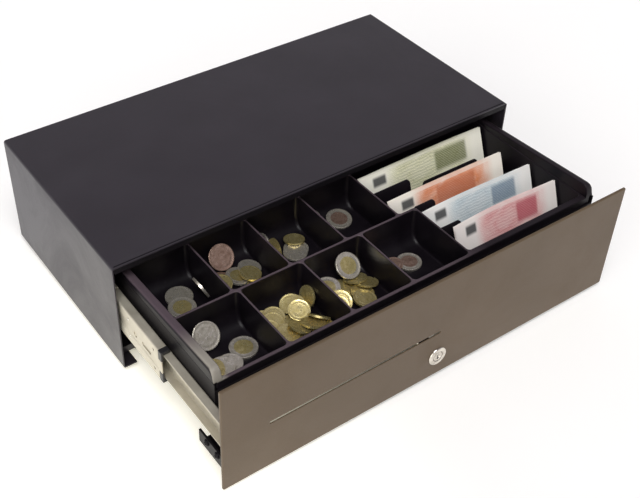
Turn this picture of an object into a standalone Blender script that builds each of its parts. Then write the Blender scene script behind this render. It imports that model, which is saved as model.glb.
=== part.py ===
"""Cash drawer, shown partly open: casing, ball-bearing slides, drawer with money insert, lock and latch.

Metres, +Z up, standing on z = 0.  +X is to the right of someone facing the drawer, which comes out
towards -Y.  The parts are laid out from the casing's front edge (y = 0) and hang on one empty, which
puts the middle of the whole footprint over the world's origin.
"""
import math

import bmesh
import bpy
from mathutils import Vector

MM = 0.001
CLEAR = 0.3 * MM                       # gap between pieces that touch

# Casing
CASE_W, CASE_D, CASE_H = 460 * MM, 226 * MM, 123 * MM
FOOT_H = 6 * MM                        # how far the feet lift the casing off the counter
SHEET = 1.2 * MM                       # casing steel
CASE_Z0, CASE_Z1 = FOOT_H, FOOT_H + CASE_H
INNER_X = CASE_W / 2 - SHEET           # inside face of a casing side
FLANGE = 14 * MM                       # bottom flange of each casing side
REAR_FLANGE = 10 * MM                  # turned-in edge round the back of the cover
BASE_Y0 = 15 * MM                      # front lip of the base plate
BASE_Z = CASE_Z0 + SHEET + CLEAR       # underside of the base plate
BASE_TOP = BASE_Z + SHEET
BACK_Y = CASE_D - SHEET - CLEAR        # rear face of the back panel
FEET = {"front_left": (-200, 26), "front_right": (200, 26),         # x, y in millimetres
        "rear_left": (-200, 196), "rear_right": (200, 196)}
BACK_SCREWS = {"top_left": (-150, 124), "top_right": (150, 124),    # x, z in millimetres
               "low_left": (-225, 40), "low_right": (225, 40)}

# Telescopic slides: t is the distance in from the casing wall, z the height from the slide's centre
SLIDE_X = INNER_X - CLEAR              # back of the casing member
SLIDE_Z = 69 * MM
SLIDE_T = 12.7 * MM
CASE_MEMBER_Y = (16 * MM, 212 * MM)
MIDDLE_MEMBER_Y = (-66 * MM, 130 * MM)
DRAWER_MEMBER_Y = (-159 * MM, 26 * MM)
OUTER_CAGE_Y = (28 * MM, 120 * MM)
INNER_CAGE_Y = (-56 * MM, 14 * MM)

# Drawer, where it stands in the partly open rest pose
PAN_X = SLIDE_X - SLIDE_T - CLEAR      # outside of the drawer pan's sides
PAN_Y0, PAN_Y1 = -139 * MM, 26 * MM
PAN_Z0 = 36 * MM
PAN_T = 1.0 * MM
PAN_SIDE_TOP, PAN_FRONT_TOP, PAN_REAR_TOP = 103.7 * MM, 96 * MM, 104 * MM
FASCIA_W, FASCIA_H = 452 * MM, 121 * MM
FASCIA_Z0 = 4.5 * MM
FASCIA_Y = -165 * MM                   # front face
FASCIA_DEPTH = 2.6 * MM                  # turned-back edge
SLOT_X, SLOT_Z, SLOT_H = (-180 * MM, 4 * MM), 60 * MM, 3 * MM
LOCK_X, LOCK_Z = 4 * MM, 29 * MM

# Money insert
TRAY_X = 212.5 * MM
TRAY_Y0, TRAY_Y1 = -137.5 * MM, 24 * MM
TRAY_Z0, TRAY_TOP = PAN_Z0 + PAN_T + CLEAR, 104 * MM
RIM_FRONT, RIM_REAR = 117 * MM, 108 * MM                # height of the side rims' sloping top
COIN_UNDERSIDE = 64.5 * MM
CUP_X0, CUP_WALL, CUP_COLUMNS = -206 * MM, 2.2 * MM, 4
CUP_ROWS = ((-134 * MM, -58.2 * MM, 59 * MM),           # front, back and right-hand side of each row
            (-55.8 * MM, 20.5 * MM, 39 * MM))
CUP_FLOOR = 67 * MM
NOTE_X1, NOTE_Y0, NOTE_Y1 = 206 * MM, -131 * MM, 20.5 * MM
NOTE_FLOOR = 39.5 * MM
NOTE_LEAN = math.radians(20)           # how far the notes lean back from upright
DIVIDER_T = 2 * MM
DIVIDERS = {1: (-114.6 * MM, 61.5 * MM),                # y of the foot, left-hand end
            2: (-76.8 * MM, 61.5 * MM),
            3: (-39.3 * MM, 41.5 * MM)}

# Latch, opened by a solenoid
LATCH_X, LATCH_Y, LATCH_Z = 6 * MM, 214 * MM, 44.5 * MM
LATCH_T = 2.5 * MM
STRIKER_PIN_Y = 36 * MM
LINK_X, LINK_Y = 8.2 * MM, 200 * MM
PLUNGER_Z = 49.8 * MM

# Kick-out spring, drawer switch and rear socket
EJECT_X, EJECT_Z = -110 * MM, 60 * MM
SWITCH_X, SWITCH_Z = -60 * MM, 60 * MM
SOCKET_X, SOCKET_Z = 150 * MM, 36 * MM

FOOTPRINT_MIDDLE_Y = 30.75 * MM        # halfway from the lock's face to the heads of the back screws

COLOURS = {                            # base colour, metallic, roughness
    "casing_paint": ((0.045, 0.040, 0.042), 0.0, 0.45),
    "fascia_paint": ((0.105, 0.088, 0.072), 0.0, 0.45),
    "black_steel": ((0.020, 0.019, 0.022), 0.0, 0.40),
    "zinc": ((0.62, 0.60, 0.54), 1.0, 0.32),
    "chrome": ((0.85, 0.85, 0.86), 1.0, 0.10),
    "black_plastic": ((0.016, 0.014, 0.018), 0.0, 0.42),
    "rubber": ((0.020, 0.020, 0.020), 0.0, 0.85),
}


# ---------------------------------------------------------------- helpers

def clear_scene():
    for obj in list(bpy.data.objects):
        bpy.data.objects.remove(obj, do_unlink=True)


def new_collection(name):
    collection = bpy.data.collections.new(name)
    bpy.context.scene.collection.children.link(collection)
    return collection


def new_material(name, finish):
    colour, metallic, roughness = COLOURS[finish]
    material = bpy.data.materials.new(name)
    material.use_nodes = True
    shader = material.node_tree.nodes["Principled BSDF"]
    shader.inputs["Base Color"].default_value = (*colour, 1.0)
    shader.inputs["Metallic"].default_value = metallic
    shader.inputs["Roughness"].default_value = roughness
    material.diffuse_color = (*colour, 1.0)
    return material


def place(name, bm, finish, origin=(0, 0, 0), smooth=False):
    """Make a part from a bmesh in world coordinates, with its own origin and its own material."""
    bmesh.ops.recalc_face_normals(bm, faces=bm.faces)
    bmesh.ops.translate(bm, vec=-Vector(origin), verts=bm.verts)
    mesh = bpy.data.meshes.new(name)
    bm.to_mesh(mesh)
    bm.free()
    if smooth:
        mesh.shade_smooth()
        mesh.set_sharp_from_angle(angle=math.radians(35))
    obj = bpy.data.objects.new(name, mesh)
    obj.location = origin
    mesh.materials.append(new_material(name, finish))
    return gather(obj)


def gather(obj):
    PARTS.objects.link(obj)
    obj.parent = ASSEMBLY
    return obj


def add_prism(bm, outline, axis, lo, hi):
    """Extrude a closed 2-D outline along an axis; the outline's plane is YZ, XZ or XY."""
    def point(u, v, w):
        return {"X": (w, u, v), "Y": (u, w, v), "Z": (u, v, w)}[axis]

    rings = [[bm.verts.new(point(u, v, w)) for u, v in outline] for w in (lo, hi)]
    count = len(outline)
    for i in range(count):
        j = (i + 1) % count
        bm.faces.new((rings[0][i], rings[0][j], rings[1][j], rings[1][i]))
    bm.faces.new(rings[0])
    bm.faces.new(rings[1])
    return bm


def prism(outline, axis, lo, hi):
    return add_prism(bmesh.new(), outline, axis, lo, hi)


def add_box(bm, lo, hi):
    rectangle = [(lo[0], lo[1]), (hi[0], lo[1]), (hi[0], hi[1]), (lo[0], hi[1])]
    return add_prism(bm, rectangle, "Z", lo[2], hi[2])


def box(lo, hi):
    return add_box(bmesh.new(), lo, hi)


def add_turned(bm, profile, centre, axis, steps=24):
    """Turn a closed (radius, height) profile about an axis through centre."""
    along = Vector({"X": (1, 0, 0), "Y": (0, 1, 0), "Z": (0, 0, 1)}[axis])
    out = Vector({"X": (0, 0, 1), "Y": (1, 0, 0), "Z": (1, 0, 0)}[axis])
    verts = [bm.verts.new(Vector(centre) + out * r + along * h) for r, h in profile]
    edges = [bm.edges.new((verts[i], verts[(i + 1) % len(verts)])) for i in range(len(verts))]
    bmesh.ops.spin(bm, geom=verts + edges, cent=centre, axis=along, angle=math.tau, steps=steps,
                   use_merge=True)
    bmesh.ops.remove_doubles(bm, verts=bm.verts, dist=1e-6)
    bmesh.ops.dissolve_degenerate(bm, edges=bm.edges, dist=1e-7)
    loose = [edge for edge in bm.edges if not edge.link_faces or len(edge.link_faces) > 2]
    bmesh.ops.delete(bm, geom=loose, context="EDGES")
    return bm


def turned(profile, centre, axis, steps=24):
    return add_turned(bmesh.new(), profile, centre, axis, steps)


def rod(radius, lo, hi):
    return [(0, lo), (radius, lo), (radius, hi), (0, hi)]


def folded(path, thickness, bend, steps=4):
    """Outline of a sheet folded along path, its outer skin; the metal lies to the left of the path."""
    points = [Vector(p) for p in path]
    heads = [(b - a).normalized() for a, b in zip(points, points[1:])]
    lefts = [Vector((-d.y, d.x)) for d in heads]
    middle = [points[0] + lefts[0] * thickness / 2]
    for i in range(1, len(points) - 1):
        mitre = (lefts[i - 1] + lefts[i]).normalized()
        middle.append(points[i] + mitre * thickness / 2 / mitre.dot(lefts[i]))
    middle.append(points[-1] + lefts[-1] * thickness / 2)
    samples = [(middle[0], lefts[0])]
    for i in range(1, len(middle) - 1):
        turn = heads[i - 1].angle_signed(heads[i])          # clockwise is positive
        reach = bend * math.tan(abs(turn) / 2)
        side = -1 if turn > 0 else 1
        start = middle[i] - heads[i - 1] * reach
        pivot = start + lefts[i - 1] * side * bend
        for k in range(steps + 1):
            angle = -turn * k / steps
            cos, sin = math.cos(angle), math.sin(angle)
            left = Vector((lefts[i - 1].x * cos - lefts[i - 1].y * sin,
                           lefts[i - 1].x * sin + lefts[i - 1].y * cos))
            samples.append((pivot - left * side * bend, left))
    samples.append((middle[-1], lefts[-1]))
    outer = [tuple(p - n * thickness / 2) for p, n in samples]
    inner = [tuple(p + n * thickness / 2) for p, n in reversed(samples)]
    return outer + inner


def arc(cx, cy, radius, start, end, steps):
    angles = [math.radians(start + (end - start) * i / steps) for i in range(steps + 1)]
    return [(cx + radius * math.cos(a), cy + radius * math.sin(a)) for a in angles]


def boolean(target, bm, operation, label):
    """Cut a tool out of a part, or weld it on."""
    bmesh.ops.recalc_face_normals(bm, faces=bm.faces)
    mesh = bpy.data.meshes.new(label)
    bm.to_mesh(mesh)
    bm.free()
    tool = bpy.data.objects.new(label, mesh)
    TOOLS.objects.link(tool)
    tool.location = -target.location
    tool.parent = target
    tool.hide_render = True
    tool.display_type = "WIRE"
    modifier = target.modifiers.new(label, "BOOLEAN")
    modifier.operation = operation
    modifier.solver = "EXACT"
    modifier.object = tool


def cut(target, bm, label):
    boolean(target, bm, "DIFFERENCE", label)


def weld(target, bm, label):
    boolean(target, bm, "UNION", label)


def soften(obj, width, segments=2):
    bevel = obj.modifiers.new("edges", "BEVEL")
    bevel.width = width
    bevel.segments = segments
    bevel.limit_method = "ANGLE"
    bevel.angle_limit = math.radians(50)


# ---------------------------------------------------------------- casing

def case_cover():
    """Top and sides from one sheet, with flanges along the bottom and round the back."""
    half = CASE_W / 2
    outline = folded([(half - FLANGE, CASE_Z0), (half, CASE_Z0), (half, CASE_Z1), (-half, CASE_Z1),
                      (-half, CASE_Z0), (-half + FLANGE, CASE_Z0)], SHEET, 2.0 * MM)
    cover = place("case_cover", prism(outline, "Y", 0, CASE_D), "casing_paint")
    skin = SHEET / 2
    header = box((-half + skin * 4, 0.1 * MM, CASE_Z1 - 7 * MM), (half - skin * 4, SHEET, CASE_Z1 - skin))
    weld(cover, header, "front_header")
    y0, y1 = CASE_D - SHEET, CASE_D - 0.05 * MM
    frame = [(half - skin, CASE_Z0 + FLANGE), (half - skin, CASE_Z1 - skin * 3),
             (half - skin * 3, CASE_Z1 - skin), (-half + skin * 3, CASE_Z1 - skin),
             (-half + skin, CASE_Z1 - skin * 3), (-half + skin, CASE_Z0 + FLANGE),
             (-half + REAR_FLANGE, CASE_Z0 + FLANGE), (-half + REAR_FLANGE, CASE_Z1 - REAR_FLANGE),
             (half - REAR_FLANGE, CASE_Z1 - REAR_FLANGE), (half - REAR_FLANGE, CASE_Z0 + FLANGE)]
    weld(cover, prism(frame, "Y", y0, y1), "rear_flange")
    cut(cover, back_screw_holes(), "cover_screw_holes")
    return cover


def back_screw_holes():
    bm = bmesh.new()
    for x, z in BACK_SCREWS.values():
        add_turned(bm, rod(1.8 * MM, -8 * MM, 4 * MM), (x * MM, CASE_D, z * MM), "Y", 16)
    return bm


def case_back_panel():
    """Back panel inside the rear flange, with a window for the control socket and a row of vents."""
    half = INNER_X - 2 * CLEAR
    top = CASE_Z1 - SHEET - 2 * CLEAR
    panel = place("case_back_panel", box((-half, BACK_Y - SHEET, BASE_TOP + CLEAR), (half, BACK_Y, top)),
                  "casing_paint")
    holes = back_screw_holes()
    size = 7 * MM
    add_box(holes, (SOCKET_X - size, BACK_Y - 5 * MM, SOCKET_Z - size),
            (SOCKET_X + size, BACK_Y + 5 * MM, SOCKET_Z + size))
    for i in range(6):
        x = (-120 + 9 * i) * MM
        add_box(holes, (x, BACK_Y - 5 * MM, 96 * MM), (x + 4 * MM, BACK_Y + 5 * MM, 110 * MM))
    cut(panel, holes, "panel_holes")
    return panel


def case_base_plate():
    """Base plate on the casing's bottom flanges; the lock's cam turns down behind its front lip."""
    y1 = BACK_Y - SHEET - CLEAR
    outline = folded([(y1, 18 * MM), (y1, BASE_Z), (BASE_Y0, BASE_Z), (BASE_Y0, 16 * MM)][::-1],
                     SHEET, 1.2 * MM)
    half = INNER_X - 3 * CLEAR
    plate = place("case_base_plate", prism(outline, "X", -half, half), "casing_paint")
    holes = bmesh.new()
    for x, y in FEET.values():
        add_turned(holes, rod(2.2 * MM, -3 * MM, 3 * MM), (x * MM, y * MM, BASE_Z), "Z", 16)
    cut(plate, holes, "foot_screw_holes")
    return plate


def feet():
    top = BASE_Z - CLEAR
    for label, (x, y) in FEET.items():
        centre = (x * MM, y * MM, 0)
        profile = [(4.6 * MM, 0), (8.2 * MM, 0), (8.8 * MM, 0.8 * MM), (9.6 * MM, top), (2.2 * MM, top),
                   (2.2 * MM, 3.4 * MM), (4.6 * MM, 3.4 * MM)]
        place("foot_" + label, turned(profile, centre, "Z", 28), "rubber", centre, smooth=True)
        screw = [(0, 1.0 * MM), (3.2 * MM, 1.0 * MM), (4.0 * MM, 1.8 * MM), (4.0 * MM, 3.1 * MM),
                 (1.7 * MM, 3.1 * MM), (1.7 * MM, 14 * MM), (0, 15 * MM)]
        place("foot_screw_" + label, turned(screw, centre, "Z", 16), "zinc", centre, smooth=True)


def back_screws():
    for label, (x, z) in BACK_SCREWS.items():
        centre = (x * MM, CASE_D, z * MM)
        profile = [(0, -7 * MM), (1.4 * MM, -6 * MM), (1.4 * MM, 0.2 * MM), (3.0 * MM, 0.2 * MM),
                   (3.0 * MM, 0.9 * MM), (1.9 * MM, 1.8 * MM), (0, 2.1 * MM)]
        place("back_screw_" + label, turned(profile, centre, "Y", 16), "zinc", centre, smooth=True)


# ---------------------------------------------------------------- slides

def slide_point(side, t, z):
    return side * (SLIDE_X - t * MM), SLIDE_Z + z * MM


def slide_channel(name, side, path, thickness, span, finish="zinc"):
    """A rolled channel: path is its outer skin in (t, z), closed round the left of the walk."""
    outline = [slide_point(side, u / MM, v / MM)
               for u, v in folded([(t * MM, z * MM) for t, z in path], thickness * MM, 0.8 * MM, 3)]
    origin = (*[slide_point(side, SLIDE_T / MM / 2, 0)[0]], sum(span) / 2, SLIDE_Z)
    return place(name, prism(outline, "Y", *span), finish, origin)


def ball_cage(name, side, reach, height, strip_t, ball_t, radius, span, count=5):
    """Ball retainer: a thin strip folded round both rows of balls."""
    top = height + 0.15
    path = [(reach, -top), (strip_t, -top), (strip_t, top), (reach, top)]
    cage = slide_channel(name, side, path[::-1], 0.3, span)
    balls = bmesh.new()
    for row in (-1, 1):
        x, z = slide_point(side, ball_t, row * height)
        for i in range(count):
            y = span[0] + (i + 0.5) * (span[1] - span[0]) / count
            made = bmesh.ops.create_icosphere(balls, subdivisions=1, radius=radius * MM)
            bmesh.ops.translate(balls, vec=(x, y, z), verts=made["verts"])
    weld(cage, balls, name + "_balls")
    return cage


def slide(label, side):
    """Three telescoping members, two ball cages and the bumper on the middle member's front end."""
    slide_channel(f"slide_{label}_case_member", side,
                  [(9.6, 19.4), (9.6, 22.5), (0, 22.5), (0, -22.5), (9.6, -22.5), (9.6, -19.4)],
                  1.2, CASE_MEMBER_Y)
    ball_cage(f"slide_{label}_outer_cage", side, 8.2, 19.75, 1.45, 5.5, 1.3, OUTER_CAGE_Y)
    slide_channel(f"slide_{label}_middle_member", side,
                  [(11.0, 15.5), (11.0, 18.2), (2.0, 18.2), (2.0, -18.2), (11.0, -18.2), (11.0, -15.5)],
                  1.1, MIDDLE_MEMBER_Y)
    ball_cage(f"slide_{label}_inner_cage", side, 9.6, 15.65, 3.5, 7.0, 1.2, INNER_CAGE_Y)
    slide_channel(f"slide_{label}_drawer_member", side,
                  [(4.6, 14.2), (12.7, 14.2), (12.7, -14.2), (4.6, -14.2)][::-1], 1.1, DRAWER_MEMBER_Y)
    bumper_y = (MIDDLE_MEMBER_Y[0] - 6 * MM, MIDDLE_MEMBER_Y[0] - CLEAR)
    bumper = [(1.9, -18.4), (11.0, -18.4), (11.0, -14.6), (4.2, -14.6), (4.2, 14.6), (11.0, 14.6),
              (11.0, 18.4), (1.9, 18.4)]
    place(f"slide_{label}_bumper", prism([slide_point(side, t, z) for t, z in bumper], "Y", *bumper_y),
          "black_plastic", (side * (SLIDE_X - 6 * MM), bumper_y[0], SLIDE_Z))


# ---------------------------------------------------------------- drawer

def drawer_pan():
    """Folded bottom and sides, with front and rear walls let in between them."""
    outline = folded([(-PAN_X, PAN_SIDE_TOP), (-PAN_X, PAN_Z0), (PAN_X, PAN_Z0), (PAN_X, PAN_SIDE_TOP)],
                     PAN_T, 1.5 * MM)
    pan = place("drawer_pan", prism(outline, "Y", PAN_Y0, PAN_Y1), "black_steel", (0, PAN_Y0, PAN_Z0))
    half, low = PAN_X - PAN_T / 2, PAN_Z0 + PAN_T / 2
    nudge = 0.05 * MM
    walls = box((-half, PAN_Y0 + nudge, low), (half, PAN_Y0 + PAN_T, PAN_FRONT_TOP))
    add_box(walls, (-half, PAN_Y1 - PAN_T, low), (half, PAN_Y1 - nudge, PAN_REAR_TOP))
    weld(pan, walls, "front_and_rear_walls")
    window = box((SLOT_X[0] - 12 * MM, PAN_Y0 - 5 * MM, SLOT_Z - 6 * MM),
                 (SLOT_X[1] + 2 * MM, PAN_Y0 + 5 * MM, SLOT_Z + 4 * MM))
    cut(pan, window, "document_window")
    return pan


def fascia():
    """Front panel with turned-back edges, a document slot and the hole for the lock."""
    half, top = FASCIA_W / 2, FASCIA_Z0 + FASCIA_H
    panel = place("fascia", box((-half, FASCIA_Y, FASCIA_Z0), (half, FASCIA_Y + FASCIA_DEPTH, top)),
                  "fascia_paint", (0, FASCIA_Y, FASCIA_Z0))
    soften(panel, 0.8 * MM, 2)
    hollow = box((-half + SHEET, FASCIA_Y + SHEET, FASCIA_Z0 + SHEET),
                 (half - SHEET, FASCIA_Y + 2 * FASCIA_DEPTH, top - SHEET))
    cut(panel, hollow, "behind_the_skin")
    openings = box((SLOT_X[0], FASCIA_Y - 5 * MM, SLOT_Z - SLOT_H / 2),
                   (SLOT_X[1], FASCIA_Y + 9 * MM, SLOT_Z + SLOT_H / 2))
    add_turned(openings, rod(8.4 * MM, -5 * MM, 9 * MM), (LOCK_X, FASCIA_Y, LOCK_Z), "Y", 32)
    cut(panel, openings, "slot_and_lock_hole")
    return panel


def fascia_bracket(label, side):
    """Channel under the slide that carries the fascia in front of the pan."""
    wall = 2 * MM
    inner, outer = PAN_X + CLEAR, FASCIA_W / 2 - SHEET - CLEAR
    low, high = 27 * MM, 45.5 * MM     # passes below the slide's casing member when the drawer shuts
    y0, y1 = FASCIA_Y + SHEET + CLEAR, -126 * MM
    outline = [(side * u, v) for u, v in folded([(inner, high), (inner, low), (outer, low), (outer, high)],
                                               wall, 1.5 * MM, 3)]
    bracket = place("fascia_bracket_" + label, prism(outline, "Y", y0 + MM, y1), "black_steel",
                    (side * outer, y0, low))
    foot = sorted((side * (outer - 0.1 * MM), side * (outer - 24 * MM)))
    weld(bracket, box((foot[0], y0, low + 0.1 * MM), (foot[1], y0 + wall, high - 0.1 * MM)), "foot_" + label)
    return bracket


def latch_striker():
    """Tongue on the back of the pan, with the pin that the latch hook holds; the plate clears the nose."""
    plate = box((-12 * MM, PAN_Y1 + CLEAR, 48.5 * MM), (12 * MM, PAN_Y1 + CLEAR + 1.6 * MM, 66 * MM))
    striker = place("latch_striker", plate, "zinc", (0, PAN_Y1, 50 * MM))
    weld(striker, box((-8 * MM, PAN_Y1 + MM, 51 * MM), (8 * MM, STRIKER_PIN_Y + 4 * MM, 53 * MM)), "tongue")
    weld(striker, turned(rod(2 * MM, 44 * MM, 52 * MM), (0, STRIKER_PIN_Y, 0), "Z", 16), "pin")
    return striker


# ---------------------------------------------------------------- money insert

def cup_outline(y0, y1):
    """Side view of a coin cup: steep at the back, with a scooped front for the fingers."""
    back, scoop = 16 * MM, 33 * MM
    over = TRAY_TOP + 5 * MM
    heel = arc(y1 - back, CUP_FLOOR + back, back, -90, 0, 5)
    toe = arc(y0 + scoop, CUP_FLOOR + scoop, scoop, 180, 270, 9)
    return toe + heel + [(y1, over), (y0, over)]


def insert_tray():
    """Moulded insert: coin cups over the document space, a deep note bay, and rims that hook over the pan.

    The front row of cups reaches further right than the rear row, so the note bay is L-shaped.
    """
    skirt, ledge, deep_x = 2.5 * MM, 0.5 * MM, 33 * MM
    rim = RIM_FRONT + 3 * MM
    outline = [(-PAN_X, rim), (-PAN_X, TRAY_TOP), (-TRAY_X, TRAY_TOP), (-TRAY_X, TRAY_Z0),
               (-TRAY_X + skirt, TRAY_Z0), (-TRAY_X + skirt, COIN_UNDERSIDE), (deep_x, COIN_UNDERSIDE),
               (deep_x, TRAY_Z0), (TRAY_X, TRAY_Z0), (TRAY_X, TRAY_TOP), (PAN_X, TRAY_TOP), (PAN_X, rim),
               (NOTE_X1 + ledge, rim), (NOTE_X1 + ledge, TRAY_TOP), (CUP_X0 - ledge, TRAY_TOP),
               (CUP_X0 - ledge, rim)]
    tray = place("insert_tray", prism(outline, "Y", TRAY_Y0, TRAY_Y1), "black_plastic", (0, TRAY_Y0, TRAY_Z0))
    hollows = bmesh.new()
    for y0, y1, x1 in CUP_ROWS:
        pitch = (x1 - CUP_X0 + CUP_WALL) / CUP_COLUMNS
        for i in range(CUP_COLUMNS):
            x = CUP_X0 + i * pitch
            add_prism(hollows, cup_outline(y0, y1), "X", x, x + pitch - CUP_WALL)
    front_x, rear_x = [row[2] + CUP_WALL for row in CUP_ROWS]
    step_y = CUP_ROWS[1][0]
    bay = [(front_x, NOTE_Y0), (NOTE_X1, NOTE_Y0), (NOTE_X1, NOTE_Y1), (rear_x, NOTE_Y1), (rear_x, step_y),
           (front_x, step_y)]
    add_prism(hollows, bay, "Z", NOTE_FLOOR, TRAY_TOP + 5 * MM)
    cut(tray, hollows, "cups_and_note_bay")
    slope = [(TRAY_Y0 - MM, TRAY_TOP + MM), (TRAY_Y0 + 3 * MM, RIM_FRONT), (TRAY_Y1 + MM, RIM_REAR),
             (TRAY_Y1 + MM, rim + 5 * MM), (TRAY_Y0 - MM, rim + 5 * MM)]
    cut(tray, prism(slope, "X", -PAN_X - 5 * MM, PAN_X + 5 * MM), "sloping_rims")
    pocket = box((deep_x - 5 * MM, TRAY_Y0 - 5 * MM, TRAY_Z0 - 5 * MM),
                 (front_x - 8 * MM, -64 * MM, COIN_UNDERSIDE))
    cut(tray, pocket, "under_the_front_right_cup")
    return tray


def note_divider(index, foot_y, left):
    """Leaning plate between two note slots: a tall tab, a notch for the fingers and a lower middle part."""
    right, corner = NOTE_X1 - CLEAR, 4 * MM
    tab_x, tab_h = 87.5 * MM, 61.2 * MM
    middle_x0, middle_x1, middle_h, low = 103 * MM, 176 * MM, 52.2 * MM, 37 * MM
    face = ([(left, 0), (right, 0)] + arc(right - corner, low - corner, corner, 0, 90, 4)
            + arc(middle_x1 + corner, low + corner, corner, 270, 180, 4)
            + arc(middle_x1 - corner, middle_h - corner, corner, 0, 90, 4)
            + arc(middle_x0 + corner, middle_h - corner, corner, 90, 180, 4)
            + arc(middle_x0 - corner, low + corner, corner, 0, -90, 4)
            + arc(tab_x + corner, low + corner, corner, 270, 180, 4)
            + arc(tab_x - corner, tab_h - corner, corner, 0, 90, 4) + [(left, tab_h)])
    bm = prism(face, "Y", 0, DIVIDER_T)
    for vert in bm.verts:
        x, y, z = vert.co
        vert.co = (x, foot_y + y + z * math.tan(NOTE_LEAN), NOTE_FLOOR + CLEAR + z)
    return place(f"note_divider_{index}", bm, "black_plastic", (left, foot_y, NOTE_FLOOR))


# ---------------------------------------------------------------- lock

def lock():
    """Cam lock: housing and nut in the fascia, turning plug with keyway, and cam."""
    axis = (LOCK_X, FASCIA_Y, LOCK_Z)
    front = -1.6 * MM
    housing = [(5.6 * MM, front), (9.0 * MM, front), (10.0 * MM, front + 0.7 * MM), (10.0 * MM, -CLEAR),
               (8.1 * MM, -CLEAR), (8.1 * MM, 22 * MM), (5.6 * MM, 22 * MM)]
    place("lock_housing", turned(housing, axis, "Y", 32), "chrome", axis, smooth=True)
    hexagon = [(LOCK_X + 12 * MM * math.cos(a), LOCK_Z + 12 * MM * math.sin(a))
               for a in [math.radians(60 * i) for i in range(6)]]
    nut = place("lock_nut", prism(hexagon, "Y", FASCIA_Y + SHEET + CLEAR, FASCIA_Y + 5 * MM), "zinc", axis)
    cut(nut, turned(rod(8.4 * MM, -5 * MM, 12 * MM), axis, "Y", 32), "nut_bore")
    plug_profile = [(0, front + 0.3 * MM), (5.3 * MM, front + 0.3 * MM), (5.3 * MM, 22.4 * MM),
                    (3 * MM, 22.4 * MM), (3 * MM, 25.2 * MM), (0, 25.2 * MM)]
    plug = place("lock_plug", turned(plug_profile, axis, "Y", 24), "chrome", axis, smooth=True)
    keyway = box((LOCK_X - 0.7 * MM, FASCIA_Y - 5 * MM, LOCK_Z - 3.6 * MM),
                 (LOCK_X + 0.7 * MM, FASCIA_Y + 14 * MM, LOCK_Z + 3.6 * MM))
    cut(plug, keyway, "keyway")
    reach = 18 * MM
    blade = ([(LOCK_X - 6 * MM, LOCK_Z + 5 * MM), (LOCK_X - 6 * MM, LOCK_Z - 5 * MM)]
             + arc(LOCK_X + reach - 5 * MM, LOCK_Z, 5 * MM, -90, 90, 8))
    cam = place("lock_cam", prism(blade, "Y", FASCIA_Y + 23 * MM, FASCIA_Y + 25 * MM), "zinc", axis)
    cut(cam, turned(rod(3.2 * MM, 20 * MM, 30 * MM), axis, "Y", 24), "cam_bore")


# ---------------------------------------------------------------- latch and solenoid

def latch_bracket():
    """Hat-section shelf behind the drawer that carries the hook and the solenoid."""
    x0, x1, top, foot = -16 * MM, 74 * MM, 42 * MM, 12 * MM
    low = BASE_TOP + CLEAR
    path = [(x1 + foot, low + 1.5 * MM), (x1, low + 1.5 * MM), (x1, top), (x0, top), (x0, low + 1.5 * MM),
            (x0 - foot, low + 1.5 * MM)]
    bracket = place("latch_bracket", prism(folded(path, 1.5 * MM, 1.2 * MM, 3), "Y", 190 * MM, 218.5 * MM),
                    "zinc", (x0, 190 * MM, low))
    cut(bracket, turned(rod(2.2 * MM, 30 * MM, 50 * MM), (LATCH_X, LATCH_Y, 0), "Z", 20), "pivot_hole")


def latch_hook():
    """Hook that turns about an upright pin; a slot takes the solenoid plunger's pin."""
    nose_y0, nose_y1 = 188.8 * MM, 193.2 * MM
    outline = ([(-3.5 * MM, nose_y0), (10.5 * MM, nose_y0), (12.5 * MM, nose_y0 + 2 * MM),
                (12.5 * MM, 206 * MM)]
               + arc(LATCH_X + 0.5 * MM, LATCH_Y, 6 * MM, -10, 190, 10)
               + [(4.4 * MM, 204 * MM), (4.4 * MM, nose_y1), (-3.5 * MM, nose_y1)])
    hook = place("latch_hook", prism(outline, "Z", LATCH_Z, LATCH_Z + LATCH_T), "zinc",
                 (LATCH_X, LATCH_Y, LATCH_Z))
    holes = turned(rod(2.2 * MM, 30 * MM, 60 * MM), (LATCH_X, LATCH_Y, 0), "Z", 20)
    slot = (arc(LINK_X, LINK_Y + 1.4 * MM, 1.6 * MM, 0, 180, 6)
            + arc(LINK_X, LINK_Y - 1.4 * MM, 1.6 * MM, 180, 360, 6))
    add_prism(holes, slot, "Z", 30 * MM, 60 * MM)
    cut(hook, holes, "hook_holes")


def latch_pivot_pin():
    profile = [(0, 38.6 * MM), (3 * MM, 38.6 * MM), (3 * MM, 40.2 * MM), (1.95 * MM, 40.2 * MM),
               (1.95 * MM, 52 * MM), (3.8 * MM, 52 * MM), (3.8 * MM, 53.4 * MM), (0, 53.8 * MM)]
    collar_z = 42.3 * MM
    pin = place("latch_pivot_pin", turned(profile, (LATCH_X, LATCH_Y, 0), "Z", 20), "zinc",
                (LATCH_X, LATCH_Y, collar_z), smooth=True)
    collar = rod(3.4 * MM, collar_z, LATCH_Z - CLEAR)
    weld(pin, turned(collar, (LATCH_X, LATCH_Y, 0), "Z", 20), "collar")


def coil(name, radius, wire, turns, centre, axis, length, finish, steps=14):
    """Helical spring as a bevelled curve with filled ends."""
    curve = bpy.data.curves.new(name, "CURVE")
    curve.dimensions = "3D"
    curve.bevel_depth = wire
    curve.bevel_resolution = 1
    curve.use_fill_caps = True
    spline = curve.splines.new("POLY")
    count = int(turns * steps)
    spline.points.add(count)
    for i in range(count + 1):
        angle, rise = math.tau * i / steps, length * i / count
        u, v = radius * math.cos(angle), radius * math.sin(angle)
        spline.points[i].co = (*{"Y": (u, rise, v), "Z": (u, v, rise)}[axis], 1)
    obj = bpy.data.objects.new(name, curve)
    obj.location = centre
    curve.materials.append(new_material(name, finish))
    return gather(obj)


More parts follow.
